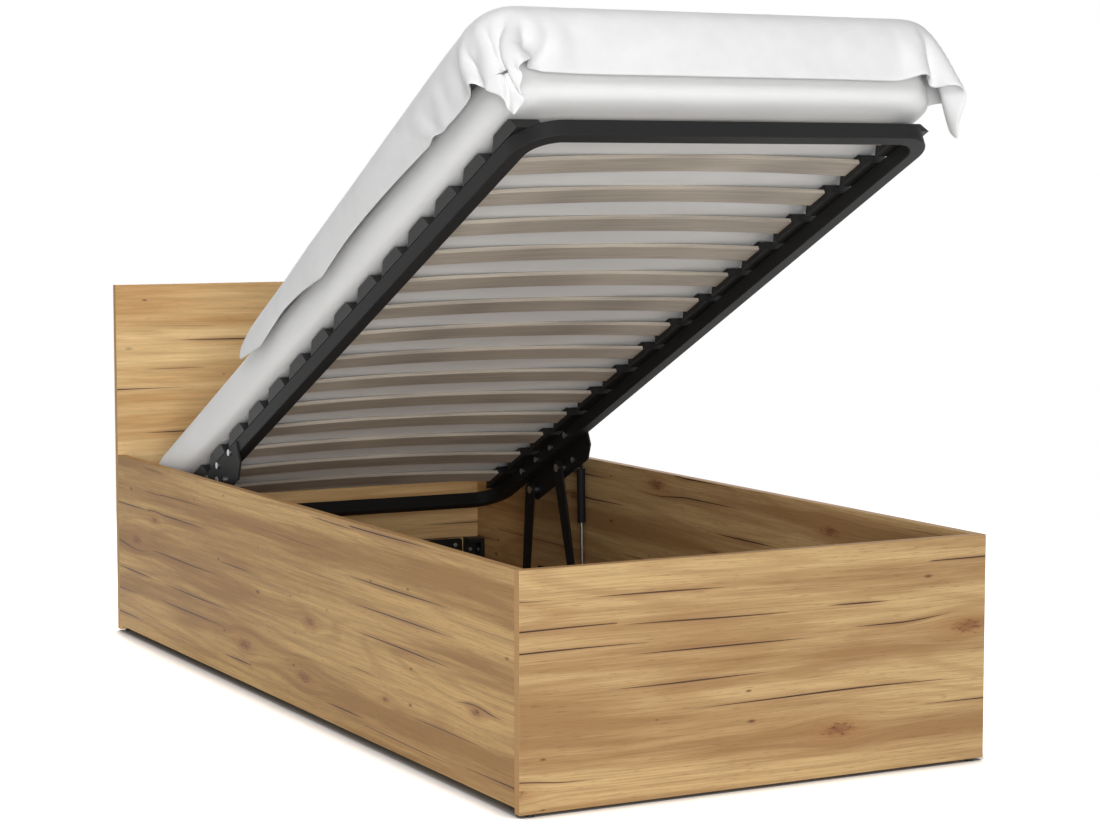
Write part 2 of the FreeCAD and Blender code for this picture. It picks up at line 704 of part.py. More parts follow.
def duvet():
    """The duvet over the foot of the mattress: thick at the foot, hanging over three sides."""
    half = MATTRESS_WIDTH / 2 + SOFT_GAP + DUVET_SIDE
    foot = MATTRESS_FOOT - SOFT_GAP - DUVET_SIDE
    hem = FRAME_BOTTOM + DUVET_HEM
    top = MATTRESS_TOP + SOFT_GAP + DUVET_FOOT_THICK
    wide = half + DUVET_EASE
    front = foot - DUVET_EASE
    back = DUVET_HEAD + DUVET_EASE
    low = hem - DUVET_EASE
    sections = [duvet_section(wide, front, low, DUVET_FOOT_THICK),
                duvet_section(wide, back, low, DUVET_HEAD_THICK)]
    body = Part.makeLoft(sections, True, True)
    body = body.common(folded_prism(half, foot, DUVET_HEAD, low, top))
    bend = DUVET_EDGE_ROUND + DUVET_FOOT_THICK / 2
    k = bend * (1 - math.sqrt(0.5))
    nose = arc_wire(
        (V(-wide, front, low), V(-wide, front, top - bend)),
        (V(-wide, front, top - bend), V(-wide, front + k, top - k), V(-wide, front + bend, top)),
        (V(-wide, front + bend, top), V(-wide, back, top)),
        (V(-wide, back, top), V(-wide, back, low)),
        (V(-wide, back, low), V(-wide, front, low)))
    body = body.common(Part.Face(nose).extrude(V(2 * wide, 0, 0)))
    body = body.cut(mattress_body(SOFT_GAP))
    side_hem = waved_cutter(front, back, hem, DUVET_HEM_WAVE, DUVET_SIDE_FOLDS,
                            V(2 * wide, 0, 0), lambda run, z: V(-wide, run, z))
    foot_hem = waved_cutter(-wide, wide, FRAME_BOTTOM + DUVET_FOOT_HEM, DUVET_FOOT_WAVE, DUVET_FOOT_FOLDS,
                            V(0, MATTRESS_EDGE_ROUND, 0), lambda run, z: V(run, front, z))
    body = body.cut(side_hem)
    body = body.cut(foot_hem)
    return max(body.Solids, key=lambda s: s.Volume)


# Lift gear
def lift_bracket():
    """The right bracket plate on the outside of the side rail, drilled for bolts and pins."""
    front = LEVER_PIN[0] - BRACKET_FRONT
    rear = REAR_PIN[0] + BRACKET_REAR
    top = FRAME_BOTTOM + BRACKET_RISE
    low = FRAME_BOTTOM - BRACKET_DROP
    c = BRACKET_CORNER
    outline = [(front, top), (front, low + c), (front + c, low),
               (rear - c, low), (rear, low + c), (rear, top)]
    plate = outline_yz(outline, RAIL_OUT, BRACKET_FACE)
    for y in bolt_places():
        plate = plate.cut(rod_x(RAIL_OUT, BRACKET_FACE, (y, BOLT_LEVEL), BOLT_RADIUS + HOLE_PLAY))
    for pin in (LEVER_PIN, REAR_PIN, GAS_PIN):
        plate = plate.cut(rod_x(RAIL_OUT, BRACKET_FACE, pin, SMALL_PIVOT_RADIUS + HOLE_PLAY))
    return plate


def bracket_bolts():
    """Bolts and nuts that clamp the right bracket to the side rail."""
    solids = []
    for y in bolt_places():
        centre = (y, BOLT_LEVEL)
        shank = rod_x(RAIL_IN - NUT_THICK, BRACKET_FACE, centre, BOLT_RADIUS)
        head = rod_x(BRACKET_FACE, BRACKET_FACE + BOLT_HEAD, centre, BOLT_HEAD_RADIUS)
        nut = rod_x(RAIL_IN - NUT_THICK, RAIL_IN, centre, BOLT_HEAD_RADIUS)
        solids.append(shank.fuse([head, nut]).removeSplitter())
    return solids


def stepped_pin(centre, steps):
    """A pin made of (x0, x1, radius) steps."""
    bars = [rod_x(x0, x1, centre, radius) for x0, x1, radius in steps]
    return bars[0].fuse(bars[1:]).removeSplitter()


def bracket_pins():
    """The pins riveted in the right bracket: lever and rear link inside, gas spring outside."""
    inner = LEVER_IN - SIDE_PLAY
    outer = LEVER_OUT + SIDE_PLAY
    pins = []
    for pin in (LEVER_PIN, REAR_PIN):
        pins.append(stepped_pin(pin, [
            (BRACKET_FACE, BRACKET_FACE + PIN_HEAD, PIVOT_RADIUS + COLLAR),
            (RAIL_OUT, BRACKET_FACE, SMALL_PIVOT_RADIUS),
            (outer, RAIL_OUT, PIVOT_RADIUS + COLLAR),
            (inner, outer, PIVOT_RADIUS),
            (inner - PIN_HEAD, inner, PIVOT_RADIUS + COLLAR)]))
    eye_in = GAS_X - GAS_EYE_THICK / 2 - SIDE_PLAY
    eye_out = GAS_X + GAS_EYE_THICK / 2 + SIDE_PLAY
    pins.append(stepped_pin(GAS_PIN, [
        (RAIL_OUT - PIN_HEAD, RAIL_OUT, SMALL_PIVOT_RADIUS + COLLAR),
        (RAIL_OUT, BRACKET_FACE, SMALL_PIVOT_RADIUS),
        (BRACKET_FACE, eye_in, SMALL_PIVOT_RADIUS + COLLAR),
        (eye_in, eye_out, SMALL_PIVOT_RADIUS),
        (eye_out, eye_out + PIN_HEAD, SMALL_PIVOT_RADIUS + COLLAR)]))
    return pins


BASE_FACE = INNER_X - PLATE


def base_plate_parts():
    """The right base plate on the side board, and its screws."""
    front = min(LEVER_PIVOT[0], GAS_PIVOT[0]) - BASE_PLATE_MARGIN
    rear = REAR_PIVOT[0] + BASE_PLATE_MARGIN
    low = FLOOR_TOP
    plate = round_x_edges(box(BASE_FACE, INNER_X, front, rear, low, BASE_PLATE_TOP), BASE_PLATE_ROUND)
    edge = BASE_PLATE_ROUND + SCREW_HEAD_RADIUS
    middle = (front + rear) / 2
    levels = (low + edge, BASE_PLATE_TOP - edge)
    places = [(y, z) for y in (front + edge, middle, rear - edge) for z in levels]
    places = [p for p in places if min(math.dist(p, q) for q in (LEVER_PIVOT, GAS_PIVOT, REAR_PIVOT)) > edge]
    screws = []
    for y, z in places:
        start = V(BASE_FACE, y, z)
        plate = plate.cut(Part.makeCylinder(SCREW_RADIUS + HOLE_PLAY, PLATE, start, X_AXIS))
        screws.append(screw(start, X_AXIS, PLATE))
    return plate, screws


def base_pins():
    """The right base plate's pins: long ones for lever and rear link, a short one for the gas spring."""
    inner = LEVER_IN - SIDE_PLAY
    outer = LEVER_OUT + SIDE_PLAY
    pins = []
    for pivot in (LEVER_PIVOT, REAR_PIVOT):
        pins.append(stepped_pin(pivot, [
            (outer, BASE_FACE, PIVOT_RADIUS + COLLAR),
            (inner, outer, PIVOT_RADIUS),
            (inner - PIN_HEAD, inner, PIVOT_RADIUS + COLLAR)]))
    eye_in = GAS_X - GAS_EYE_THICK / 2 - SIDE_PLAY
    eye_out = GAS_X + GAS_EYE_THICK / 2 + SIDE_PLAY
    pins.append(stepped_pin(GAS_PIVOT, [
        (eye_out, BASE_FACE, SMALL_PIVOT_RADIUS + COLLAR),
        (eye_in, eye_out, SMALL_PIVOT_RADIUS),
        (eye_in - PIN_HEAD, eye_in, SMALL_PIVOT_RADIUS + COLLAR)]))
    return pins


def front_lever():
    """The right front lever, as it stands with the deck lifted."""
    top = lifted_point(LEVER_PIN)
    lever = strap(LEVER_PIVOT, LEVER_LOW_RADIUS, top, LEVER_TOP_RADIUS, LEVER_IN, LEVER_OUT)
    for centre in (LEVER_PIVOT, top):
        lever = lever.cut(rod_x(LEVER_IN, LEVER_OUT, centre, PIVOT_RADIUS + PIVOT_PLAY))
    return lever


def slot(centre, slip, radius, x0, x1):
    """A slot that lets a pin wander from its rest place by the given step."""
    end = (centre[0] + slip[0], centre[1] + slip[1])
    return strap(centre, radius, end, radius, x0, x1)


def rear_link():
    """The right rear link, lifted. Its upper eye is a slot, open enough for the pin's wander."""
    top = lifted_point(REAR_PIN)
    slip = rear_slip()
    end = (top[0] + slip[0], top[1] + slip[1])
    link = strap(REAR_PIVOT, LINK_LOW_RADIUS, top, LINK_TOP_RADIUS, LEVER_IN, LEVER_OUT)
    link = link.fuse(strap(REAR_PIVOT, LINK_LOW_RADIUS, end, LINK_TOP_RADIUS, LEVER_IN, LEVER_OUT))
    link = link.fuse(slot(top, slip, LINK_TOP_RADIUS, LEVER_IN, LEVER_OUT)).removeSplitter()
    link = link.cut(rod_x(LEVER_IN, LEVER_OUT, REAR_PIVOT, PIVOT_RADIUS + PIVOT_PLAY))
    return link.cut(slot(top, slip, PIVOT_RADIUS + OPEN_PIVOT_PLAY, LEVER_IN, LEVER_OUT))


def gas_spring():
    """The right gas spring's cylinder and rod, lifted."""
    top = lifted_point(GAS_PIN)
    length = math.dist(top, GAS_PIVOT)
    down = V(0, (GAS_PIVOT[0] - top[0]) / length, (GAS_PIVOT[1] - top[1]) / length)
    start = V(GAS_X, top[0], top[1])

    def bar(near, far, radius):
        return Part.makeCylinder(radius, far - near, start + down * near, down)

    x0 = GAS_X - GAS_EYE_THICK / 2
    x1 = GAS_X + GAS_EYE_THICK / 2
    tube_end = GAS_NECK + GAS_TUBE_LENGTH
    bore = GAS_TUBE_RADIUS - GAS_TUBE_WALL
    cylinder = rod_x(x0, x1, top, GAS_EYE_RADIUS).fuse([
        bar(0, GAS_NECK, GAS_NECK_RADIUS), bar(GAS_NECK, tube_end, GAS_TUBE_RADIUS)]).removeSplitter()
    cylinder = cylinder.cut(bar(GAS_NECK + GAS_GLAND, tube_end - GAS_GLAND, bore))
    cylinder = cylinder.cut(bar(tube_end - GAS_GLAND, tube_end, GAS_ROD_RADIUS + PIVOT_PLAY))
    cylinder = cylinder.cut(rod_x(x0, x1, top, SMALL_PIVOT_RADIUS + PIVOT_PLAY))
    piston_at = tube_end - GAS_ROD_INSIDE
    slip = gas_slip()
    eye_end = (GAS_PIVOT[0] + slip[0], GAS_PIVOT[1] + slip[1])
    eye = strap(GAS_PIVOT, GAS_EYE_RADIUS, eye_end, GAS_EYE_RADIUS, x0, x1)
    rod = bar(piston_at, length, GAS_ROD_RADIUS).fuse([
        bar(piston_at, piston_at + GAS_PISTON, bore - GAS_PISTON_PLAY), eye]).removeSplitter()
    rod = rod.cut(slot(GAS_PIVOT, slip, SMALL_PIVOT_RADIUS + OPEN_PIVOT_PLAY, x0, x1))
    return cylinder, rod


def build_box():
    """Writes the fixed bed box."""
    write("headboard", end_board(1, HEADBOARD_HEIGHT))
    write("footboard", end_board(-1, FOOTBOARD_HEIGHT))
    write_pair("side_board", side_board())
    write("corner_dowels", *corner_dowels(1, 0), *corner_dowels(-1, 0))
    blocks, block_screws = corner_block_parts()
    write("corner_blocks", *blocks)
    plates, plate_screws = headboard_plate_parts()
    write("headboard_plates", *plates)
    write("corner_screws", *block_screws, *plate_screws)
    write("floor_glides", *glides())
    storage_floor()
    plate, screws = base_plate_parts()
    write_pair("base_plate", plate)
    write("base_plate_screws", *screws, *[mirrored(s) for s in screws])
    write_pair("base_pins", *base_pins())


def build_deck():
    """Writes the lifted sleeping deck."""
    write("foot_rail", lifted(end_rail(-1)))
    write("head_rail", lifted(end_rail(1)))
    write_pair("side_rail", lifted(side_rail()))
    write("tube_joiners", *[lifted(p) for p in tube_joiners()])
    holders = []
    for index in range(SLAT_COUNT):
        y = slat_place(index)
        write("slat_{:02d}".format(index + 1), lifted(arched_slat(y, 0)))
        holders.append(lifted(slat_holder(y)))
    write_pair("slat_holders", *holders)
    write_pair("lift_bracket", lifted(lift_bracket()))
    write_pair("bracket_bolts", *[lifted(b) for b in bracket_bolts()])
    write_pair("bracket_pins", *[lifted(p) for p in bracket_pins()])
    write("mattress", lifted(mattress_body(0)))
    write("duvet", lifted(duvet()))


def build_lift_gear():
    """Writes the levers, links and gas springs."""
    write_pair("front_lever", front_lever())
    write_pair("rear_link", rear_link())
    cylinder, rod = gas_spring()
    write_pair("gas_cylinder", cylinder)
    write_pair("gas_rod", rod)


os.makedirs("parts", exist_ok=True)
build_box()
build_deck()
build_lift_gear()
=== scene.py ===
# %% [markdown]
# # Storage bed with a lift-up sleeping deck
# A board box holds the bedding, and above it a steel frame with slats, mattress and
# duvet tilts up on levers and gas springs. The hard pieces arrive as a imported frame
# that already has every size and place. This lesson dresses them: it sets a camera and
# soft light, mixes one finish for each real material, and models the two soft pieces,
# the mattress and the duvet, as cloth.

import math

import bmesh
import bpy
from mathutils import Matrix, Vector, noise


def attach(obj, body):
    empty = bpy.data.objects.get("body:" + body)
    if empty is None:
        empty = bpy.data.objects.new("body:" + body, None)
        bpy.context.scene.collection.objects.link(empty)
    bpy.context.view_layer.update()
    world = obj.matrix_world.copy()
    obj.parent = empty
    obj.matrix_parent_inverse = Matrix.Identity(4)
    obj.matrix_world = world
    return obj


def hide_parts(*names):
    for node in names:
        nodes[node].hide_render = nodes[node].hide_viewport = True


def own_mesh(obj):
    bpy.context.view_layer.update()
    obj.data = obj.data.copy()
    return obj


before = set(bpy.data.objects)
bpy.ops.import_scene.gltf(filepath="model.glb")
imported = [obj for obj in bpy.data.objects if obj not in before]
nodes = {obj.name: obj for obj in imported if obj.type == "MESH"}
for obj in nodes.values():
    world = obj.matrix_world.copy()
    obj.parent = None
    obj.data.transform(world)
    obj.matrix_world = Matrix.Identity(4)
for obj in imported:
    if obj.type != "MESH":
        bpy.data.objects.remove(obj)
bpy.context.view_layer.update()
scene = bpy.context.scene

# %% [markdown]
# ## Camera
# The photograph was taken from the foot end, a little to the left, at about the height
# of the lifted deck. A long lens keeps the verticals almost parallel. The view can be
# found by trial, or measured from the corners of the box, whose sizes are known. Here
# the measured yaw, pitch and place are used, so the picture frames the bed exactly.

# %% Place the camera
IMAGE_WIDTH = 1100
FOCAL_PIXELS = 2620.58
SENSOR_MM = 36.0
CAMERA_PLACE = (-2.4204, -4.8182, 1.0569)
CAMERA_YAW = math.radians(27.865)
CAMERA_PITCH = math.radians(5.105)

camera_data = bpy.data.cameras.new("photo_camera")
camera_data.sensor_width = SENSOR_MM
camera_data.lens = FOCAL_PIXELS / IMAGE_WIDTH * SENSOR_MM
camera = bpy.data.objects.new("photo_camera", camera_data)
scene.collection.objects.link(camera)
looking = Vector((math.sin(CAMERA_YAW) * math.cos(CAMERA_PITCH),
                  math.cos(CAMERA_YAW) * math.cos(CAMERA_PITCH),
                  -math.sin(CAMERA_PITCH)))
camera.location = CAMERA_PLACE
camera.rotation_euler = looking.to_track_quat("-Z", "Y").to_euler()
scene.camera = camera
print("camera lens:", round(camera_data.lens, 1), "mm")

# %% [markdown]
# ## Colours and nodes
# Colours are written as the sRGB hex values that a colour picker shows. Shaders work in
# linear light, so one function converts them. A second small function adds a shader
# node with its settings and its links, which keeps each material short to read. Sizes
# are written in millimetres, and MM turns them into the scene's metres.

# %% Colour and node helpers
def linear(hex_colour):
    """An sRGB hex colour as the linear RGBA that a shader wants."""
    channels = [int(hex_colour[i:i + 2], 16) / 255 for i in (1, 3, 5)]
    return [c / 12.92 if c <= 0.04045 else ((c + 0.055) / 1.055) ** 2.4 for c in channels] + [1.0]


def add(tree, kind, inputs=None, **settings):
    """Adds a node: its settings, and for each input a value or the socket that feeds it."""
    made = tree.nodes.new("ShaderNode" + kind)
    for name, value in settings.items():
        setattr(made, name, value)
    for key, value in (inputs or {}).items():
        if isinstance(value, bpy.types.NodeSocket):
            tree.links.new(value, made.inputs[key])
        else:
            made.inputs[key].default_value = value
    return made


def blank_material(name):
    """A new material with an empty node tree, and that tree."""
    material = bpy.data.materials.new(name)
    material.use_nodes = True
    material.node_tree.nodes.clear()
    return material, material.node_tree


# Some sockets go by number. A Mix node of colours has its two colours at 6 and 7 and its result at 2.
# A Map Range node has its value at 0, the span it comes from at 1 and 2, and the span it goes to at 3 and 4.
MIX_A, MIX_B, MIX_OUT = 6, 7, 2
MM = 0.001
print("white is", linear("#FFFFFF"), "and mid grey is", linear("#808080"))

# %% [markdown]
# ## Studio
# A plain pale floor, a white surround and a few large soft lamps are what a catalogue
# studio uses. The floor has to look as white as the surround and still hold the soft
# shadow under the box. So it is a matt surface that throws an ordinary amount of light
# onto the object, and looks brighter where the camera, a gloss or glass sees it. The
# shadow close to the boards then shows, deepened by how much of the sky they shut out over
# a short reach, and far away the floor is plain white.

# %% Floor and surround
FLOOR_HALF = 30.0
FLOOR_SEEN = 2.9             # how bright it looks when seen, where 1 is white paint
CONTACT_REACH = 70 * MM
CONTACT_DARK = 0.13          # what is left of that in the deepest contact shadow
CONTACT_SPAN = (0.4, 0.92)   # the share of open sky from the deepest shadow to none
FLOOR_NEAR = 1.6
FLOOR_FAR = 3.2
AMBIENT = 0.27


def seen_rays(tree):
    """Is 1 where the camera, a gloss or glass looks, and 0 where light goes on to light the object."""
    rays = add(tree, "LightPath").outputs
    looks = add(tree, "Math", {0: rays["Is Camera Ray"], 1: rays["Is Glossy Ray"]}, operation="MAXIMUM")
    looks = add(tree, "Math", {0: looks.outputs[0], 1: rays["Is Transmission Ray"]}, operation="MAXIMUM")
    return looks.outputs[0]


floor_mesh = bmesh.new()
bmesh.ops.create_grid(floor_mesh, x_segments=1, y_segments=1, size=FLOOR_HALF)
floor_data = bpy.data.meshes.new("studio_floor")
floor_mesh.to_mesh(floor_data)
floor_mesh.free()
floor = bpy.data.objects.new("studio_floor", floor_data)
scene.collection.objects.link(floor)

floor_paint, tree = blank_material("matt_white_floor_paint")
seen = seen_rays(tree)
sky_share = add(tree, "AmbientOcclusion", {"Distance": CONTACT_REACH})
brightness = add(tree, "MapRange", {0: sky_share.outputs["AO"], 1: CONTACT_SPAN[0], 2: CONTACT_SPAN[1],
                                    3: CONTACT_DARK * FLOOR_SEEN, 4: FLOOR_SEEN})
paint = add(tree, "Mix", {0: seen, MIX_A: linear("#E6E6E6"), MIX_B: brightness.outputs[0]}, data_type="RGBA")
near = add(tree, "BsdfDiffuse", {"Color": paint.outputs[MIX_OUT]})
white = add(tree, "Emission", {"Color": linear("#FFFFFF"), "Strength": 1.0})
place = add(tree, "TexCoord")
away = add(tree, "VectorMath", {0: place.outputs["Object"]}, operation="LENGTH")
away = add(tree, "MapRange", {0: away.outputs["Value"], 1: FLOOR_NEAR, 2: FLOOR_FAR})
away = add(tree, "Math", {0: away.outputs[0], 1: seen}, operation="MULTIPLY")
floor_look = add(tree, "MixShader", {0: away.outputs[0], 1: near.outputs[0], 2: white.outputs[0]})
add(tree, "OutputMaterial", {"Surface": floor_look.outputs[0]})
floor_data.materials.append(floor_paint)

surround = bpy.data.worlds.new("white_surround")
surround.use_nodes = True
surround.node_tree.nodes.clear()
tree = surround.node_tree
level = add(tree, "MapRange", {0: seen_rays(tree), 3: AMBIENT, 4: 1.0})
sky = add(tree, "Background", {"Color": linear("#FFFFFF"), "Strength": level.outputs[0]})
add(tree, "OutputWorld", {"Surface": sky.outputs[0]})
scene.world = surround
scene.view_settings.view_transform = "Standard"
print("floor half width:", FLOOR_HALF, "m, ambient level:", AMBIENT)

# %% [markdown]
# ## Lamps
# The photograph has broad, soft light from the front, which leaves the left faces in a
# light shade and still reaches under the lifted deck. So a large softbox stands low in
# front, and a second one hangs high at the left. A third one behind keeps the back from
# going dark when the bed is turned.

# %% Soft lamps
BED_MIDDLE = Vector((0.0, 0.0, 0.45))


def soft_lamp(name, place, size, watts):
    """A square softbox that faces the middle of the bed."""
    data = bpy.data.lights.new(name, "AREA")
    data.size = size
    data.energy = watts
    lamp = bpy.data.objects.new(name, data)
    lamp.location = place
    lamp.rotation_euler = (BED_MIDDLE - Vector(place)).to_track_quat("-Z", "Y").to_euler()
    scene.collection.objects.link(lamp)
    return lamp


soft_lamp("front_softbox", place=(-3.1, -7.8, 1.0), size=2.4, watts=320.0)
soft_lamp("high_left_softbox", place=(-3.6, -4.6, 4.6), size=3.0, watts=130.0)
soft_lamp("back_softbox", place=(1.6, 6.8, 3.6), size=3.6, watts=250.0)

# %% [markdown]
# ## Oak-print laminate
# The boards are chipboard faced with a printed oak paper. The print has light and dark
# bands, growth lines that bow round brown knots, fine streaks, and thin dark cracks that
# taper along the grain. A picture of oak would do, but patterns made by nodes stay sharp at
# any size. Bands and streaks are noise stretched along the grain. Knots and cracks are
# marks scattered one to a cell, each with its own size, and some cells stay empty. The
# print of each board starts at another place, so no two boards look alike. The headboard's
# print is calmer, and its colours are painted paler, as painted light that makes up for the
# shade the lifted deck casts on it. The narrow edges carry a plain band of a warmer, even
# colour, found by the surface's direction.

# %% Sizes in the oak print
# How long a pattern is along the grain, and how broad across it
BAND = (1300 * MM, 62 * MM)
RING = (1500 * MM, 150 * MM)
SWAY = (800 * MM, 160 * MM)
STREAK = (230 * MM, 2.7 * MM)    # real streaks are near 1 mm, drawn coarser so that they show
PORE = (34 * MM, 2.2 * MM)       # real pores are 0.3 mm wide, drawn coarser so that they show
FLECK = (16 * MM, 5 * MM)
CRACK_CELL = (560 * MM, 52 * MM)
KNOT_CELL = (340 * MM, 150 * MM)
PIN_CELL = (190 * MM, 75 * MM)

# How large the marks are
RINGS = 75.0                     # radians of the growth lines' wave from the lowest noise to the highest
SWAY_DEPTH = 5 * MM
CRACK_REACH = (60 * MM, 320 * MM)
KNOT_HALF = (30 * MM, 10 * MM)
KNOT_SIZES = (0.45, 1.25)
KNOT_RAGGED = 0.45               # how far a knot's rim strays, in knot sizes
BOW_REACH = 4.5                  # how far from a knot the grain still bows, in knot sizes
BOW = 0.7
PIN_HALF = (10 * MM, 3.4 * MM)
PIN_SIZES = (0.4, 1.3)
PIN_RIM = (0.3, 1.1)

# The two parts of a crack: half breadth, how much of that fades, force and colour
CRACK_PARTS = ((10 * MM, 1.0, 0.5, "#8F6647"), (1.6 * MM, 0.35, 1.0, "#3E281B"))
# The two parts of a knot: from where to where they fade, in knot sizes, force and colour
KNOT_PARTS = ((0.9, 2.6, 0.55, "#A97C50"), (0.35, 1.2, 0.8, "#83593A"))

# Where on its noise each pattern starts, so that no two line up
RING_START, PORE_START, CRACK_START, KNOT_START, PIN_START = 5.9, 2.2, 3.7, 1.3, 8.1

# The span of a noise, or of a mark's random number, over which a pattern comes or goes
NOISE_SPAN = (0.25, 0.75)
BAND_SPAN = (0.4, 0.59)
STREAK_SPAN = (0.38, 0.56)
PORE_SPAN = (0.6, 0.7)
GROWTH_SPAN = (0.2, 1.0)
SPECK_SPAN = (0.42, 0.36)
CRACK_LUCK = (0.25, 0.6)
KNOT_LUCK = (0.5, 0.52)
PIN_LUCK = (0.72, 0.8)
EDGE_TURN = (0.5, 0.75)          # of the surface's direction, from edge band to face

# How strongly each pattern is printed, and how rough the print is in a streak and beside it
GROWTH_FORCE, STREAK_FORCE, PORE_FORCE, PIN_FORCE = 0.3, 0.4, 0.42, 0.85
PRINT_ROUGHNESS = (0.66, 0.5)
PRINT_SHINE = 0.25
PORE_DEPTH = 0.3 * MM


# %% Mix the laminate
def oak_laminate(name, along, seed, dark="#A58055", pale="#D3B27F", figure=1.0):
    """Oak-print laminate on chipboard, a warm, matt print with fine lines, knots and cracks.

    along is the Object axis of the grain, seed the print's start, figure the force of its fine lines.
    """
    material, tree = blank_material(name)
    place = add(tree, "TexCoord")
    axes = add(tree, "SeparateXYZ", {0: place.outputs["Object"]})
    length = axes.outputs[along]
    height = axes.outputs["Z"]

    def print_spot(across, along_size, across_size, start):
        """A place on the print, where one unit is a pattern's real length and breadth."""
        spot = add(tree, "CombineXYZ", {"X": length, "Y": across})
        return add(tree, "Mapping", {"Vector": spot.outputs[0], "Location": (start, start, 0.0),
                                     "Scale": (1 / along_size, 1 / across_size, 1.0)}).outputs[0]

    def scattered(across, cell, start):
        """The offset in metres from the nearest mark, of one to a cell, and that mark's random numbers."""
        spot = print_spot(across, *cell, start)
        cells = add(tree, "TexVoronoi", {"Vector": spot, "Scale": 1.0}, voronoi_dimensions="2D")
        apart = add(tree, "VectorMath", {0: spot, 1: cells.outputs["Position"]}, operation="SUBTRACT")
        apart = add(tree, "VectorMath", {0: apart.outputs[0], 1: (*cell, 0.0)}, operation="MULTIPLY")
        return apart.outputs[0], add(tree, "SeparateColor", {0: cells.outputs["Color"]}).outputs

    layers = []    # what is printed over the bands, from the bottom up: how much, and in which colour

    # Knots first, because the grain bows round them
    apart, luck = scattered(height, KNOT_CELL, seed + KNOT_START)
    ragged = add(tree, "TexNoise", {"Vector": print_spot(height, *FLECK, seed), "Scale": 1.0, "Detail": 3.0,
                                    "Roughness": 0.7})
    shrink = (1 / KNOT_HALF[0], 1 / KNOT_HALF[1], 0.0)
    reach = add(tree, "VectorMath", {0: apart, 1: shrink}, operation="MULTIPLY")
    reach = add(tree, "VectorMath", {0: reach.outputs[0]}, operation="LENGTH")
    size = add(tree, "MapRange", {0: luck[1], 3: KNOT_SIZES[0], 4: KNOT_SIZES[1]})
    reach = add(tree, "Math", {0: reach.outputs["Value"], 1: size.outputs[0]}, operation="DIVIDE")
    rough_reach = add(tree, "MapRange", {0: ragged.outputs["Fac"], 1: NOISE_SPAN[0], 2: NOISE_SPAN[1],
                                         3: -KNOT_RAGGED, 4: KNOT_RAGGED})
    rough_reach = add(tree, "Math", {0: rough_reach.outputs[0], 1: reach.outputs[0]}, operation="ADD")
    some = add(tree, "MapRange", {0: luck[0], 1: KNOT_LUCK[0], 2: KNOT_LUCK[1]})
    bow = add(tree, "MapRange", {0: reach.outputs[0], 1: 0.0, 2: BOW_REACH, 3: BOW, 4: 0.0},
              interpolation_type="SMOOTHSTEP")
    bow = add(tree, "Math", {0: bow.outputs[0], 1: some.outputs[0]}, operation="MULTIPLY")
    off_knot = add(tree, "SeparateXYZ", {0: apart})
    bow = add(tree, "Math", {0: bow.outputs[0], 1: off_knot.outputs["Y"]}, operation="MULTIPLY")
    sway = add(tree, "TexNoise", {"Vector": print_spot(height, *SWAY, seed), "Scale": 1.0, "Detail": 1.0})
    sway = add(tree, "MapRange", {0: sway.outputs["Fac"], 1: NOISE_SPAN[0], 2: NOISE_SPAN[1],
                                  3: -SWAY_DEPTH, 4: SWAY_DEPTH})
    across = add(tree, "Math", {0: height, 1: sway.outputs[0]}, operation="ADD")
    across = add(tree, "Math", {0: across.outputs[0], 1: bow.outputs[0]}, operation="SUBTRACT").outputs[0]

    # Light and dark bands, growth lines, streaks and pores
    bands = add(tree, "TexNoise", {"Vector": print_spot(across, *BAND, seed), "Scale": 1.0, "Detail": 5.0,
                                   "Roughness": 0.62})
    tone = add(tree, "MapRange", {0: bands.outputs["Fac"], 1: BAND_SPAN[0], 2: BAND_SPAN[1]})
    colour = add(tree, "Mix", {0: tone.outputs[0], MIX_A: linear(dark), MIX_B: linear(pale)},
                 data_type="RGBA").outputs[MIX_OUT]
    rings = add(tree, "TexNoise", {"Vector": print_spot(across, *RING, seed + RING_START), "Scale": 1.0,
                                   "Detail": 1.0})
    rings = add(tree, "Math", {0: rings.outputs["Fac"], 1: RINGS}, operation="MULTIPLY")
    rings = add(tree, "Math", {0: rings.outputs[0]}, operation="SINE")
    growth = add(tree, "MapRange", {0: rings.outputs[0], 1: GROWTH_SPAN[0], 2: GROWTH_SPAN[1],
                                    3: 0.0, 4: GROWTH_FORCE * figure})
    layers.append((growth, "#9C7549"))
    fine = add(tree, "TexNoise", {"Vector": print_spot(across, *STREAK, seed), "Scale": 1.0, "Detail": 4.0,
                                  "Roughness": 0.7})
    streak = add(tree, "MapRange", {0: fine.outputs["Fac"], 1: STREAK_SPAN[0], 2: STREAK_SPAN[1],
                                    3: STREAK_FORCE * figure, 4: 0.0})
    layers.append((streak, "#8F6B45"))
    pores = add(tree, "TexNoise", {"Vector": print_spot(across, *PORE, seed + PORE_START), "Scale": 1.0,
                                   "Detail": 2.0})
    pore = add(tree, "MapRange", {0: pores.outputs["Fac"], 1: PORE_SPAN[0], 2: PORE_SPAN[1],
                                  3: 0.0, 4: PORE_FORCE * figure})
    layers.append((pore, "#7D5B3A"))

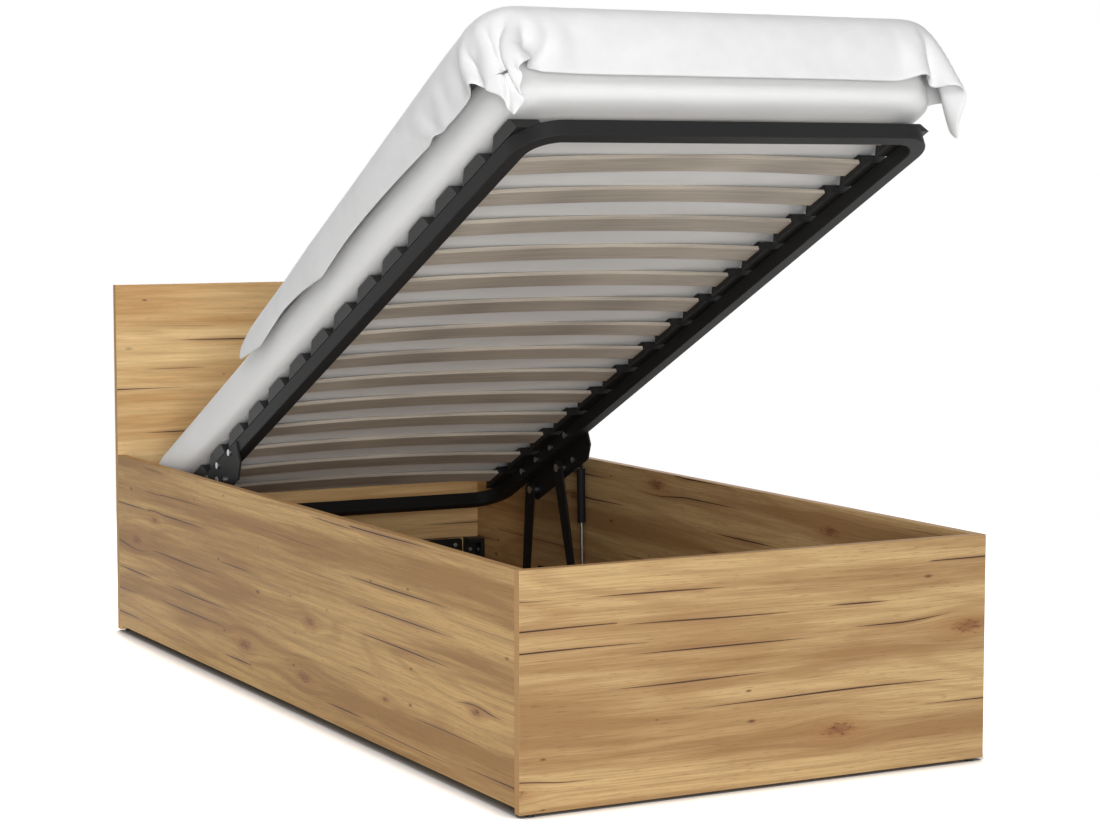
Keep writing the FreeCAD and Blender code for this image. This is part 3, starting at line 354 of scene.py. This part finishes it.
    # Cracks: spindles, thin at both ends, in a soft brown stain
    apart, luck = scattered(across, CRACK_CELL, seed + CRACK_START)
    off = add(tree, "SeparateXYZ", {0: apart})
    far = add(tree, "MapRange", {0: luck[0], 3: CRACK_REACH[0], 4: CRACK_REACH[1]})
    share = add(tree, "Math", {0: off.outputs["X"], 1: far.outputs[0]}, operation="DIVIDE")
    share = add(tree, "Math", {0: share.outputs[0], 1: 2.0}, operation="POWER")
    beside = add(tree, "Math", {0: off.outputs["Y"]}, operation="ABSOLUTE")
    there = add(tree, "MapRange", {0: luck[1], 1: CRACK_LUCK[0], 2: CRACK_LUCK[1]})
    for half, fading, force, hex_colour in CRACK_PARTS:
        wide = add(tree, "Math", {0: share.outputs[0], 1: -half, 2: half}, operation="MULTIPLY_ADD")
        inside = add(tree, "Math", {0: wide.outputs[0], 1: beside.outputs[0]}, operation="SUBTRACT")
        mark = add(tree, "MapRange", {0: inside.outputs[0], 1: 0.0, 2: fading * half, 3: 0.0, 4: force})
        mark = add(tree, "Math", {0: mark.outputs[0], 1: there.outputs[0]}, operation="MULTIPLY")
        layers.append((mark, hex_colour))

    # Knots: a warm halo, a brown heart and dark specks in it
    for inner, outer, force, hex_colour in KNOT_PARTS:
        mark = add(tree, "MapRange", {0: rough_reach.outputs[0], 1: inner, 2: outer, 3: force, 4: 0.0})
        mark = add(tree, "Math", {0: mark.outputs[0], 1: some.outputs[0]}, operation="MULTIPLY")
        layers.append((mark, hex_colour))
    speck = add(tree, "MapRange", {0: ragged.outputs["Fac"], 1: SPECK_SPAN[0], 2: SPECK_SPAN[1]})
    speck = add(tree, "Math", {0: speck.outputs[0], 1: mark.outputs[0]}, operation="MULTIPLY")
    layers.append((speck, "#4A3122"))

    # Pin knots: small dark dots, in about one cell of four
    apart, luck = scattered(across, PIN_CELL, seed + PIN_START)
    shrink = (1 / PIN_HALF[0], 1 / PIN_HALF[1], 0.0)
    pin = add(tree, "VectorMath", {0: apart, 1: shrink}, operation="MULTIPLY")
    pin = add(tree, "VectorMath", {0: pin.outputs[0]}, operation="LENGTH")
    size = add(tree, "MapRange", {0: luck[1], 3: PIN_SIZES[0], 4: PIN_SIZES[1]})
    pin = add(tree, "Math", {0: pin.outputs["Value"], 1: size.outputs[0]}, operation="DIVIDE")
    pin = add(tree, "MapRange", {0: pin.outputs[0], 1: PIN_RIM[0], 2: PIN_RIM[1], 3: PIN_FORCE, 4: 0.0})
    chance = add(tree, "MapRange", {0: luck[0], 1: PIN_LUCK[0], 2: PIN_LUCK[1]})
    pin = add(tree, "Math", {0: pin.outputs[0], 1: chance.outputs[0]}, operation="MULTIPLY")
    layers.append((pin, "#5C3E29"))
    for amount, hex_colour in layers:
        colour = add(tree, "Mix", {0: amount.outputs[0], MIX_A: colour, MIX_B: linear(hex_colour)},
                     data_type="RGBA").outputs[MIX_OUT]

    # Edge bands, gloss and the pressed-in pores
    facing = add(tree, "SeparateXYZ", {0: place.outputs["Normal"]})
    flat = add(tree, "Math", {0: facing.outputs["Y" if along == "X" else "X"]}, operation="ABSOLUTE")
    edge = add(tree, "MapRange", {0: flat.outputs[0], 1: EDGE_TURN[0], 2: EDGE_TURN[1], 3: 1.0, 4: 0.0})
    band = add(tree, "Mix", {0: streak.outputs[0], MIX_A: linear("#BC925F"), MIX_B: linear("#A67C4E")},
               data_type="RGBA")
    colour = add(tree, "Mix", {0: edge.outputs[0], MIX_A: colour, MIX_B: band.outputs[MIX_OUT]},
                 data_type="RGBA")
    gloss = add(tree, "MapRange", {0: fine.outputs["Fac"], 3: PRINT_ROUGHNESS[0], 4: PRINT_ROUGHNESS[1]})
    relief = add(tree, "Math", {0: streak.outputs[0], 1: pore.outputs[0]}, operation="ADD")
    relief = add(tree, "Bump", {"Height": relief.outputs[0], "Strength": 0.3, "Distance": PORE_DEPTH},
                 invert=True)
    skin = add(tree, "BsdfPrincipled", {"Base Color": colour.outputs[MIX_OUT], "Roughness": gloss.outputs[0],
                                        "Normal": relief.outputs[0], "Specular IOR Level": PRINT_SHINE})
    add(tree, "OutputMaterial", {"Surface": skin.outputs[0]})
    return material


def dress(material, *names):
    """Puts one material on named pieces of the frame."""
    for name in names:
        piece = nodes[name]
        piece.data.materials.clear()
        piece.data.materials.append(material)


# The headboard's dark and pale colours are painted paler: painted light against the lifted deck's shade
dress(oak_laminate("oak_laminate_headboard", "X", 2.0, dark="#D0A36C", pale="#F2CF97", figure=0.5),
      "headboard")
dress(oak_laminate("oak_laminate_footboard", "X", 11.0), "footboard")
dress(oak_laminate("oak_laminate_left_side", "Y", 23.0, dark="#A27B4A", pale="#D8B277"), "left_side_board")
dress(oak_laminate("oak_laminate_right_side", "Y", 37.0), "right_side_board")
print("laminate on four boards")

# %% [markdown]
# ## Steel, plastic and the boards inside
# The deck frame and the lift gear are tube and plate with a matt charcoal powder coat,
# which shows a fine pebbled skin. The pins, screws, bolts and gas spring rods are bright
# zinc-plated or polished steel. Slat holders, corner blocks and glides are moulded black
# plastic. The storage floor is hardboard on softwood cleats. These finishes differ in
# colour, in gloss and in the size of their grain, so one recipe with named settings
# makes all but the woods.

# %% Coated, plated and moulded finishes
CLOUD = 250 * MM
GRAIN_SPAN = (0.1, 0.4)
GLOSS_SWING = 0.08


def grained_finish(name, dark, pale, grain, relief, roughness, metallic=0.0, shine=0.5):
    """A finish whose colour and gloss vary over a fine grain of a real size."""
    material, tree = blank_material(name)
    place = add(tree, "TexCoord")
    fine = add(tree, "TexNoise", {"Vector": place.outputs["Object"], "Scale": 1 / grain, "Detail": 2.0})
    broad = add(tree, "TexNoise", {"Vector": place.outputs["Object"], "Scale": 1 / CLOUD, "Detail": 2.0})
    tone = add(tree, "Math", {0: fine.outputs["Fac"], 1: broad.outputs["Fac"]}, operation="MULTIPLY")
    tone = add(tree, "MapRange", {0: tone.outputs[0], 1: GRAIN_SPAN[0], 2: GRAIN_SPAN[1]})
    colour = add(tree, "Mix", {0: tone.outputs[0], MIX_A: linear(dark), MIX_B: linear(pale)},
                 data_type="RGBA")
    gloss = add(tree, "MapRange", {0: broad.outputs["Fac"], 3: roughness - GLOSS_SWING,
                                   4: roughness + GLOSS_SWING})
    bump = add(tree, "Bump", {"Height": fine.outputs["Fac"], "Strength": 0.3, "Distance": relief})
    skin = add(tree, "BsdfPrincipled", {"Base Color": colour.outputs[MIX_OUT], "Roughness": gloss.outputs[0],
                                        "Normal": bump.outputs[0], "Metallic": metallic,
                                        "Specular IOR Level": shine})
    add(tree, "OutputMaterial", {"Surface": skin.outputs[0]})
    return material


# Powder coat: a matt, nearly even charcoal with a fine pebble, drawn at 3 mm so that it shows
dress(grained_finish("charcoal_powder_coat", "#181818", "#202020", grain=3 * MM, relief=0.2 * MM,
                     roughness=0.65, shine=0.2),
      "foot_rail", "head_rail", "left_side_rail", "right_side_rail", "left_lift_bracket",
      "right_lift_bracket", "left_front_lever", "right_front_lever", "left_rear_link", "right_rear_link",
      "left_gas_cylinder", "right_gas_cylinder", "left_base_plate", "right_base_plate", "headboard_plates")
# Zinc plating: a bright metal with a faint cloudy bloom, its grain drawn coarser than life so that it shows
dress(grained_finish("zinc_plated_steel", "#9A9C9E", "#C8CACC", grain=2 * MM, relief=0.05 * MM,
                     roughness=0.32, metallic=1.0),
      "left_gas_rod", "right_gas_rod", "left_bracket_bolts", "right_bracket_bolts", "left_bracket_pins",
      "right_bracket_pins", "left_base_pins", "right_base_pins", "base_plate_screws", "corner_screws",
      "tube_joiners")
# Moulded polypropylene: black with the soft sheen of a lightly textured mould, drawn coarser too
dress(grained_finish("black_moulded_plastic", "#141414", "#1E1E1D", grain=2 * MM, relief=0.1 * MM,
                     roughness=0.55, shine=0.35),
      "left_slat_holders", "right_slat_holders", "corner_blocks", "floor_glides")
# Hardboard: brown pressed fibre with a mottled, slightly fuzzy face
dress(grained_finish("brown_hardboard", "#8A6B4C", "#A98A66", grain=6 * MM, relief=0.2 * MM, roughness=0.75),
      "storage_floor_foot", "storage_floor_head")
print("coated, plated and moulded finishes done")

# %% [markdown]
# ## Plywood slats and softwood
# The slats are bent beech plywood, pale, greyish and even. The grain runs along each slat,
# across the bed. The deck stands tilted, so a Mapping node first turns the pattern to lie
# along the deck. The cleats and dowels are plain pine with straight growth lines, some along
# the bed and some across it. A picture could give one face of such a wood. A stretched noise
# gives all faces at once, and runs through the piece as real grain does.

# %% Woods of the slats and cleats
LIFT_ANGLE = math.radians(26)
WOOD_CLOUD = 200 * MM
WOOD_SPAN = (0.72, 1.3)
WOOD_ROUGHNESS = 0.6


def straight_grain(name, dark, pale, along, spacing, length, tilt=0.0):
    """A wood with straight grain along one axis, turned by tilt about X."""
    material, tree = blank_material(name)
    place = add(tree, "TexCoord")
    sizes = [1 / spacing] * 3
    sizes["XYZ".index(along)] = 1 / length
    turn = add(tree, "Mapping", {"Vector": place.outputs["Object"], "Rotation": (tilt, 0.0, 0.0)})
    run = add(tree, "Mapping", {"Vector": turn.outputs[0], "Scale": sizes})
    grain = add(tree, "TexNoise", {"Vector": run.outputs[0], "Scale": 1.0, "Detail": 4.0, "Roughness": 0.6})
    patch = add(tree, "TexNoise", {"Vector": turn.outputs[0], "Scale": 1 / WOOD_CLOUD, "Detail": 1.0})
    tone = add(tree, "Math", {0: grain.outputs["Fac"], 1: patch.outputs["Fac"]}, operation="ADD")
    tone = add(tree, "MapRange", {0: tone.outputs[0], 1: WOOD_SPAN[0], 2: WOOD_SPAN[1]})
    colour = add(tree, "Mix", {0: tone.outputs[0], MIX_A: linear(dark), MIX_B: linear(pale)},
                 data_type="RGBA")
    bump = add(tree, "Bump", {"Height": grain.outputs["Fac"], "Strength": 0.25, "Distance": 0.3 * MM})
    skin = add(tree, "BsdfPrincipled", {"Base Color": colour.outputs[MIX_OUT], "Roughness": WOOD_ROUGHNESS,
                                        "Normal": bump.outputs[0]})
    add(tree, "OutputMaterial", {"Surface": skin.outputs[0]})
    return material


slat_names = sorted(name for name in nodes if name.startswith("slat_"))
# Beech plywood: a pale grey-brown with long, fine streaks
dress(straight_grain("beech_plywood", "#A0968A", "#CBC0B0", "X", spacing=5 * MM, length=260 * MM,
                     tilt=LIFT_ANGLE), *slat_names)
# Pine: yellow and plain, with straight lines
dress(straight_grain("pine_along_bed", "#B58F5E", "#D9B985", "Y", spacing=6 * MM, length=300 * MM),
      "left_floor_cleat", "right_floor_cleat", "corner_dowels")
dress(straight_grain("pine_across_bed", "#B58F5E", "#D9B985", "X", spacing=6 * MM, length=300 * MM),
      "foot_floor_cleat", "head_floor_cleat", "floor_cross_batten")
print("slats dressed:", len(slat_names))

# %% [markdown]
# ## The deck's own frame of reference
# Mattress and duvet are easiest to model on a level deck. The deck then tilts by a known
# angle about a known pole, which is how the real one travels on its levers, and the
# finished meshes are turned the same way. So each soft piece is modelled level, in
# metres above the floor, and one matrix lifts it.

# %% Level deck and lift
POLE = Vector((0.0, 0.7666, 0.6594))
LIFT = Matrix.Translation(POLE) @ Matrix.Rotation(-LIFT_ANGLE, 4, "X") @ Matrix.Translation(-POLE)
DECK_UP = (LIFT.to_3x3() @ Vector((0, 0, 1))).normalized()
FRAME_BOTTOM = 325 * MM
MATTRESS_HALF = 450 * MM
MATTRESS_END = 1000 * MM
# The mattress lies on the slats' crowns, 58.4 mm above the frame's underside, and is 105 mm thick
MATTRESS_LOW = FRAME_BOTTOM + 58.4 * MM
MATTRESS_TOP = FRAME_BOTTOM + 163.4 * MM


def from_bmesh(name, shape):
    """A new object at the origin that holds a finished bmesh."""
    data = bpy.data.meshes.new(name)
    shape.to_mesh(data)
    shape.free()
    made = bpy.data.objects.new(name, data)
    scene.collection.objects.link(made)
    return made


def run_cloth(cloth, frames):
    """Steps the cloth to its last frame and returns the settled mesh."""
    modifier = cloth.modifiers["Cloth"]
    modifier.point_cache.frame_start = 1
    modifier.point_cache.frame_end = frames
    for step in range(1, frames + 1):
        scene.frame_set(step)
    graph = bpy.context.evaluated_depsgraph_get()
    settled = bpy.data.meshes.new_from_object(cloth.evaluated_get(graph))
    scene.frame_set(1)
    return settled


def drop(*objects):
    """Removes helpers that have done their work."""
    for helper in objects:
        bpy.data.objects.remove(helper, do_unlink=True)


print("deck points up along", [round(v, 3) for v in DECK_UP])

# %% [markdown]
# ## Mattress
# A foam mattress in a white knitted cover: a slab with full, rounded edges and a slightly
# crowned top. A bevelled box would look hard. So a slightly small rounded slab is remeshed
# evenly, blown up by cloth pressure, and its growth is capped, which gives the soft tension
# of a stuffed cover.

# %% Model and inflate the mattress
SLAB_INSET = 5 * MM
SLAB_CORNER = 55 * MM
SLAB_EDGE = 26 * MM
MATTRESS_VOXEL = 16 * MM
MATTRESS_SWELL = 5 * MM
MATTRESS_PRESSURE = 4.0
MATTRESS_FRAMES = 14
SHARP = 1.0    # an edge turns by more than this, in radians, where it still needs rounding


def rounded_slab(inset):
    """A bmesh of the mattress's slab with rounded corners and rims, smaller by inset all round."""
    shape = bmesh.new()
    bmesh.ops.create_cube(shape, size=2.0)
    half_thick = (MATTRESS_TOP - MATTRESS_LOW) / 2 - inset
    half_sizes = (MATTRESS_HALF - inset, MATTRESS_END - inset, half_thick)
    bmesh.ops.scale(shape, verts=shape.verts, vec=half_sizes)
    bmesh.ops.translate(shape, verts=shape.verts, vec=(0, 0, (MATTRESS_TOP + MATTRESS_LOW) / 2))
    uprights = [e for e in shape.edges if abs(e.verts[0].co.z - e.verts[1].co.z) > half_thick]
    bmesh.ops.bevel(shape, geom=uprights, offset=SLAB_CORNER, affect="EDGES", segments=6, profile=0.5,
                    material=-1)
    rims = [e for e in shape.edges if abs(e.calc_face_angle(0)) > SHARP]
    bmesh.ops.bevel(shape, geom=rims, offset=SLAB_EDGE, affect="EDGES", segments=5, profile=0.5, material=-1)
    return shape


def inflate(pad, voxel, pressure, cap, frames):
    """Remeshes a pad evenly, blows it up as cloth, and lets no point move further than cap."""
    remesh = pad.modifiers.new("Even", "REMESH")
    remesh.mode = "VOXEL"
    remesh.voxel_size = voxel
    graph = bpy.context.evaluated_depsgraph_get()
    pad.data = bpy.data.meshes.new_from_object(pad.evaluated_get(graph))
    pad.modifiers.clear()
    start = [v.co.copy() for v in pad.data.vertices]
    cloth = pad.modifiers.new("Cloth", "CLOTH")
    cloth.settings.use_pressure = True
    cloth.settings.uniform_pressure_force = pressure
    cloth.settings.effector_weights.gravity = 0.0
    settled = run_cloth(pad, frames)
    pad.modifiers.clear()
    pad.data = settled
    for vertex, rest in zip(pad.data.vertices, start):
        step = vertex.co - rest
        if step.length > cap:
            vertex.co = rest + step * (cap / step.length)


mattress = from_bmesh("mattress_cover", rounded_slab(SLAB_INSET))
inflate(mattress, MATTRESS_VOXEL, MATTRESS_PRESSURE, MATTRESS_SWELL, MATTRESS_FRAMES)
mattress.data.transform(LIFT)
for face in mattress.data.polygons:
    face.use_smooth = True
smooth = mattress.modifiers.new("Smooth", "SUBSURF")
smooth.levels = 1
smooth.render_levels = 1
print("mattress faces:", len(mattress.data.polygons))

# %% [markdown]
# ## Duvet
# A thin duvet lies over the foot part of the mattress, pushed up into a soft ridge at the
# foot, and hangs over three sides. Its foot corners fall into pointed folds. Folds like
# these are hard to model by hand and natural for cloth, so a flat sheet is laid above a
# hidden form, the mattress with that ridge, and falls onto it. The settled sheet then gets
# its filling, which is full in the middle and thin along the hems.

# %% Hidden form under the duvet
RIDGE = 58 * MM
RIDGE_FOOT = -845 * MM
RIDGE_HEAD = 300 * MM
LUMP = 9 * MM
LUMP_PITCH = 210 * MM
LUMP_START = 900 * MM     # where on their noise the lumps start
FORM_GRID = 60 * MM


def ridge_height(y):
    """How far the ridge lifts the duvet above the mattress at one place along it."""
    share = (RIDGE_HEAD - y) / (RIDGE_HEAD - RIDGE_FOOT)
    return RIDGE * min(max(share, 0.0), 1.0)


def ridge_form():
    """The mattress's shape with a ridge towards the foot and a few soft lumps on top."""
    shape = rounded_slab(0.0)
    for axis, reach in ((0, MATTRESS_HALF), (1, MATTRESS_END)):
        steps = int(reach / FORM_GRID)
        for step in range(-steps, steps + 1):
            spot = [0.0, 0.0, 0.0]
            way = [0.0, 0.0, 0.0]
            spot[axis] = step * FORM_GRID
            way[axis] = 1.0
            everything = shape.verts[:] + shape.edges[:] + shape.faces[:]
            bmesh.ops.bisect_plane(shape, geom=everything, plane_co=spot, plane_no=way)
    for vertex in shape.verts:
        x, y, z = vertex.co
        if z > (MATTRESS_TOP + MATTRESS_LOW) / 2:
            vertex.co.z += ridge_height(y)
        if z > MATTRESS_TOP - MM:
            vertex.co.z += LUMP * noise.noise(Vector((x, y, LUMP_START)) / LUMP_PITCH)
    return from_bmesh("hidden_ridge_form", shape)


form = ridge_form()
print("hidden form faces:", len(form.data.polygons))

# %% [markdown]
# ## The duvet's cut
# A rectangle would hang evenly. The duvet in the photograph hangs lower at its foot corners,
# has wavy side hems, and runs to points at its head corners. So the cut is a grid whose
# width, hems and corners follow a few named measures. The points near a hem are marked,
# because the filling is thin there.

# %% Flat sheet
DUVET_HEAD = 250 * MM
DUVET_FOOT = -1108 * MM
DUVET_HALF_HEAD = 486 * MM
DUVET_HALF_FOOT = 553 * MM
DUVET_BULGE = 12 * MM
CORNER_SIDE = 42 * MM     # how much wider the foot corners are cut, so that they hang lower
CORNER_FOOT = 12 * MM
CORNER_SHARE = 0.3        # how much of the length a foot corner takes up
CORNER_SHARPNESS = 6
HEAD_POINT = 40 * MM
HEAD_POINT_SHARE = 6      # the points take up one part in so many of the length
SCALLOP = 9 * MM
SCALLOP_TURNS = 9.5       # radians of wave along a side hem
SCALLOP_STRAY = 0.7       # how far the waves stray from an even spacing, in radians
STRAY_TURNS = 6           # radians of that straying along a side hem
SCALLOP_RIGHT = 1.5       # where the waves start, so that the two side hems differ
SCALLOP_LEFT = 0.4
SHEET_STEP = 13 * MM
SHEET_LIFT = 20 * MM
HEM_WIDTH = 70 * MM


def flat_sheet():
    """The flat cut of the duvet above the hidden form, and how full each point is, from hem to middle."""
    shape = bmesh.new()
    length = DUVET_HEAD - DUVET_FOOT
    columns = round(2 * DUVET_HALF_FOOT / SHEET_STEP)
    rows = round(length / SHEET_STEP)
    bmesh.ops.create_grid(shape, x_segments=columns, y_segments=rows, size=1.0)
    fullness = []
    for vertex in shape.verts:
        side = vertex.co.x
        along = (vertex.co.y + 1) / 2
        corner = max(0.0, 1 - along / CORNER_SHARE) ** 2
        half = DUVET_HALF_FOOT + (DUVET_HALF_HEAD - DUVET_HALF_FOOT) * along
        # Four times a share times the rest of it is 1 in the middle and 0 at both ends
        half += DUVET_BULGE * 4 * along * (1 - along) + CORNER_SIDE * corner
        stray = SCALLOP_STRAY * math.sin(along * STRAY_TURNS + 1)
        wave = along * SCALLOP_TURNS + stray + (SCALLOP_RIGHT if side > 0 else SCALLOP_LEFT)
        half += SCALLOP * (1 - 2 * abs(math.sin(wave))) * side ** 2
        point = HEAD_POINT * max(0.0, 1 - (1 - along) * HEAD_POINT_SHARE) * side ** 2
        drop_foot = CORNER_FOOT * side ** CORNER_SHARPNESS * (1 - along) ** CORNER_SHARPNESS
        vertex.co.x = side * half
        vertex.co.y = DUVET_FOOT + length * along + point - drop_foot
        vertex.co.z = MATTRESS_TOP + ridge_height(vertex.co.y) + SHEET_LIFT
        reach = min(half * (1 - abs(side)), length * along, length * (1 - along))
        fullness.append(min(reach / HEM_WIDTH, 1.0))
    return from_bmesh("draped_duvet", shape), fullness


duvet, fullness = flat_sheet()
print("sheet faces:", len(duvet.data.polygons))

# %% [markdown]
# ## The fall
# The sheet falls as cloth. A filled duvet is heavy and bends unwillingly, so its folds are
# few and round, and it clings to what it lies on. After the fall it gets its thickness.

# %% Drape the sheet
DUVET_FRAMES = 50
DUVET_THICK = 14 * MM
HEM_THIN = 0.3


def drape(sheet, body, frames):
    """Lets a sheet fall onto a body and keeps the settled shape."""
    contact = body.modifiers.new("Collision", "COLLISION")
    body.collision.thickness_outer = 4 * MM
    body.collision.cloth_friction = 40
    cloth = sheet.modifiers.new("Cloth", "CLOTH")
    cloth.settings.quality = 6
    cloth.settings.mass = 1.2
    cloth.settings.tension_stiffness = 20
    cloth.settings.compression_stiffness = 20
    cloth.settings.shear_stiffness = 3
    cloth.settings.bending_stiffness = 8
    cloth.settings.air_damping = 2
    cloth.settings.shrink_min = -0.012    # a negative shrink leaves a little cloth to spare for creases
    cloth.collision_settings.distance_min = 5 * MM
    cloth.collision_settings.use_self_collision = True
    cloth.collision_settings.self_distance_min = 6 * MM
    sheet.data = run_cloth(sheet, frames)
    sheet.modifiers.clear()
    body.modifiers.remove(contact)


drape(duvet, form, DUVET_FRAMES)
drop(form)
duvet.data.transform(LIFT)
filling = duvet.vertex_groups.new(name="filling")
for index, full in enumerate(fullness):
    filling.add([index], full, "REPLACE")
for face in duvet.data.polygons:
    face.use_smooth = True
wall = duvet.modifiers.new("Filling", "SOLIDIFY")
wall.thickness = DUVET_THICK
wall.offset = 1.0
wall.vertex_group = filling.name
wall.thickness_vertex_group = HEM_THIN
soft = duvet.modifiers.new("Smooth", "SUBSURF")
soft.levels = 1
soft.render_levels = 1
print("duvet settled:", len(duvet.data.vertices), "points")

# %% [markdown]
# ## The low corners, cut off
# When the deck comes down, the mattress sinks between the boards. The low corners of the
# duvet then meet the boards' top edges and crumple, while the rest rides down unharmed. A
# whole duvet can't do both, so it is cut level, just above the boards. The cut runs through
# the finished mesh, both halves keep the normals of the whole, and so no seam shows.

# %% Cut the low corners off
CUT_HEIGHT = 100 * MM
CUT_POINT = LIFT @ Vector((0.0, -MATTRESS_END, FRAME_BOTTOM + CUT_HEIGHT))


def cut_level(whole, name):
    """Cuts a finished piece across the deck: it keeps what is above, and a new piece gets the rest."""
    graph = bpy.context.evaluated_depsgraph_get()
    full = bpy.data.meshes.new_from_object(whole.evaluated_get(graph))
    whole.modifiers.clear()
    whole.vertex_groups.clear()
    halves = []
    for upper in (True, False):
        shape = bmesh.new()
        shape.from_mesh(full)
        everything = shape.verts[:] + shape.edges[:] + shape.faces[:]
        bmesh.ops.bisect_plane(shape, geom=everything, plane_co=CUT_POINT, plane_no=DECK_UP)
        shape.normal_update()
        normals = shape.verts.layers.float_vector.new("whole_normal")
        for vertex in shape.verts:
            vertex[normals] = vertex.normal
        gone = [f for f in shape.faces if ((f.calc_center_median() - CUT_POINT).dot(DECK_UP) < 0) == upper]
        bmesh.ops.delete(shape, geom=gone, context="FACES")
        rim = [e for e in shape.edges if e.is_boundary]
        bmesh.ops.holes_fill(shape, edges=rim, sides=0)
        kept = [vertex[normals].copy() for vertex in shape.verts]
        shape.verts.layers.float_vector.remove(normals)
        data = bpy.data.meshes.new(name)
        shape.to_mesh(data)
        shape.free()
        data.normals_split_custom_set_from_vertices(kept)
        halves.append(data)
    whole.data = halves[0]
    lower = bpy.data.objects.new(name, halves[1])
    scene.collection.objects.link(lower)
    return lower


duvet_corners = cut_level(duvet, "duvet_corners")
print("duvet faces above and below the cut:", len(duvet.data.polygons), len(duvet_corners.data.polygons))

# %% [markdown]
# ## Bed linen
# The mattress cover is a smooth white knit with a slight sheen. The duvet has a white
# cotton case: matt, very finely woven, with small creases. Both are nearly white, so they
# stay just below white in colour and let light and shade draw their form, with a little
# painted shade in the crease hollows.

# %% Cloth finishes
WEAVE = 4 * MM            # real threads are near 0.3 mm apart, drawn coarser so that they show
WEAVE_SHARE = 0.12
LINEN_SPAN = (0.3, 0.7)


def linen(name, dark, pale, crease, relief, roughness, sheen):
    """A white cloth with creases of a real size and faint tone changes, darker in the crease hollows:
    painted shade.
    """
    material, tree = blank_material(name)
    place = add(tree, "TexCoord")
    fold = add(tree, "TexNoise", {"Vector": place.outputs["Object"], "Scale": 1 / crease, "Detail": 3.0})
    weave = add(tree, "TexNoise", {"Vector": place.outputs["Object"], "Scale": 1 / WEAVE, "Detail": 1.0})
    # The tone follows the crease noise, so the cloth is a little darker in the crease hollows: partly faint
    # mottling, partly painted crease shade
    tone = add(tree, "MapRange", {0: fold.outputs["Fac"], 1: LINEN_SPAN[0], 2: LINEN_SPAN[1]})
    colour = add(tree, "Mix", {0: tone.outputs[0], MIX_A: linear(dark), MIX_B: linear(pale)},
                 data_type="RGBA")
    both = add(tree, "Math", {0: weave.outputs["Fac"], 1: WEAVE_SHARE, 2: fold.outputs["Fac"]},
               operation="MULTIPLY_ADD")
    bump = add(tree, "Bump", {"Height": both.outputs[0], "Strength": 0.4, "Distance": relief})
    skin = add(tree, "BsdfPrincipled", {"Base Color": colour.outputs[MIX_OUT], "Roughness": roughness,
                                        "Normal": bump.outputs[0], "Sheen Weight": sheen})
    add(tree, "OutputMaterial", {"Surface": skin.outputs[0]})
    return material


# Knitted cover: smooth and faintly shiny. Cotton case: matt, with small creases
knit = linen("white_knitted_cover", "#EAEAE9", "#EEEEED", crease=160 * MM, relief=0.25 * MM, roughness=0.5,
             sheen=0.1)
cotton = linen("white_cotton_case", "#E8E8E8", "#EEEEEE", crease=45 * MM, relief=1.2 * MM, roughness=0.85,
               sheen=0.15)
mattress.data.materials.append(knit)
for piece in (duvet, duvet_corners):
    piece.data.materials.clear()
    piece.data.materials.append(cotton)
print("linen done")

# %% [markdown]
# ## Fasten the soft pieces
# Mattress and duvet ride on the sleeping deck and stand for the plain solids of the hard
# model.

# %% Attach the soft pieces
slots = ((mattress, "mattress_cover"), (duvet, "duvet_cover"), (duvet_corners, "duvet_cover"))
for piece, slot_name in slots:
    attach(piece, "sleeping_deck")
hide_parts("mattress")
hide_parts("duvet")
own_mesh(duvet_corners)
print("soft pieces on the deck:", len(slots))
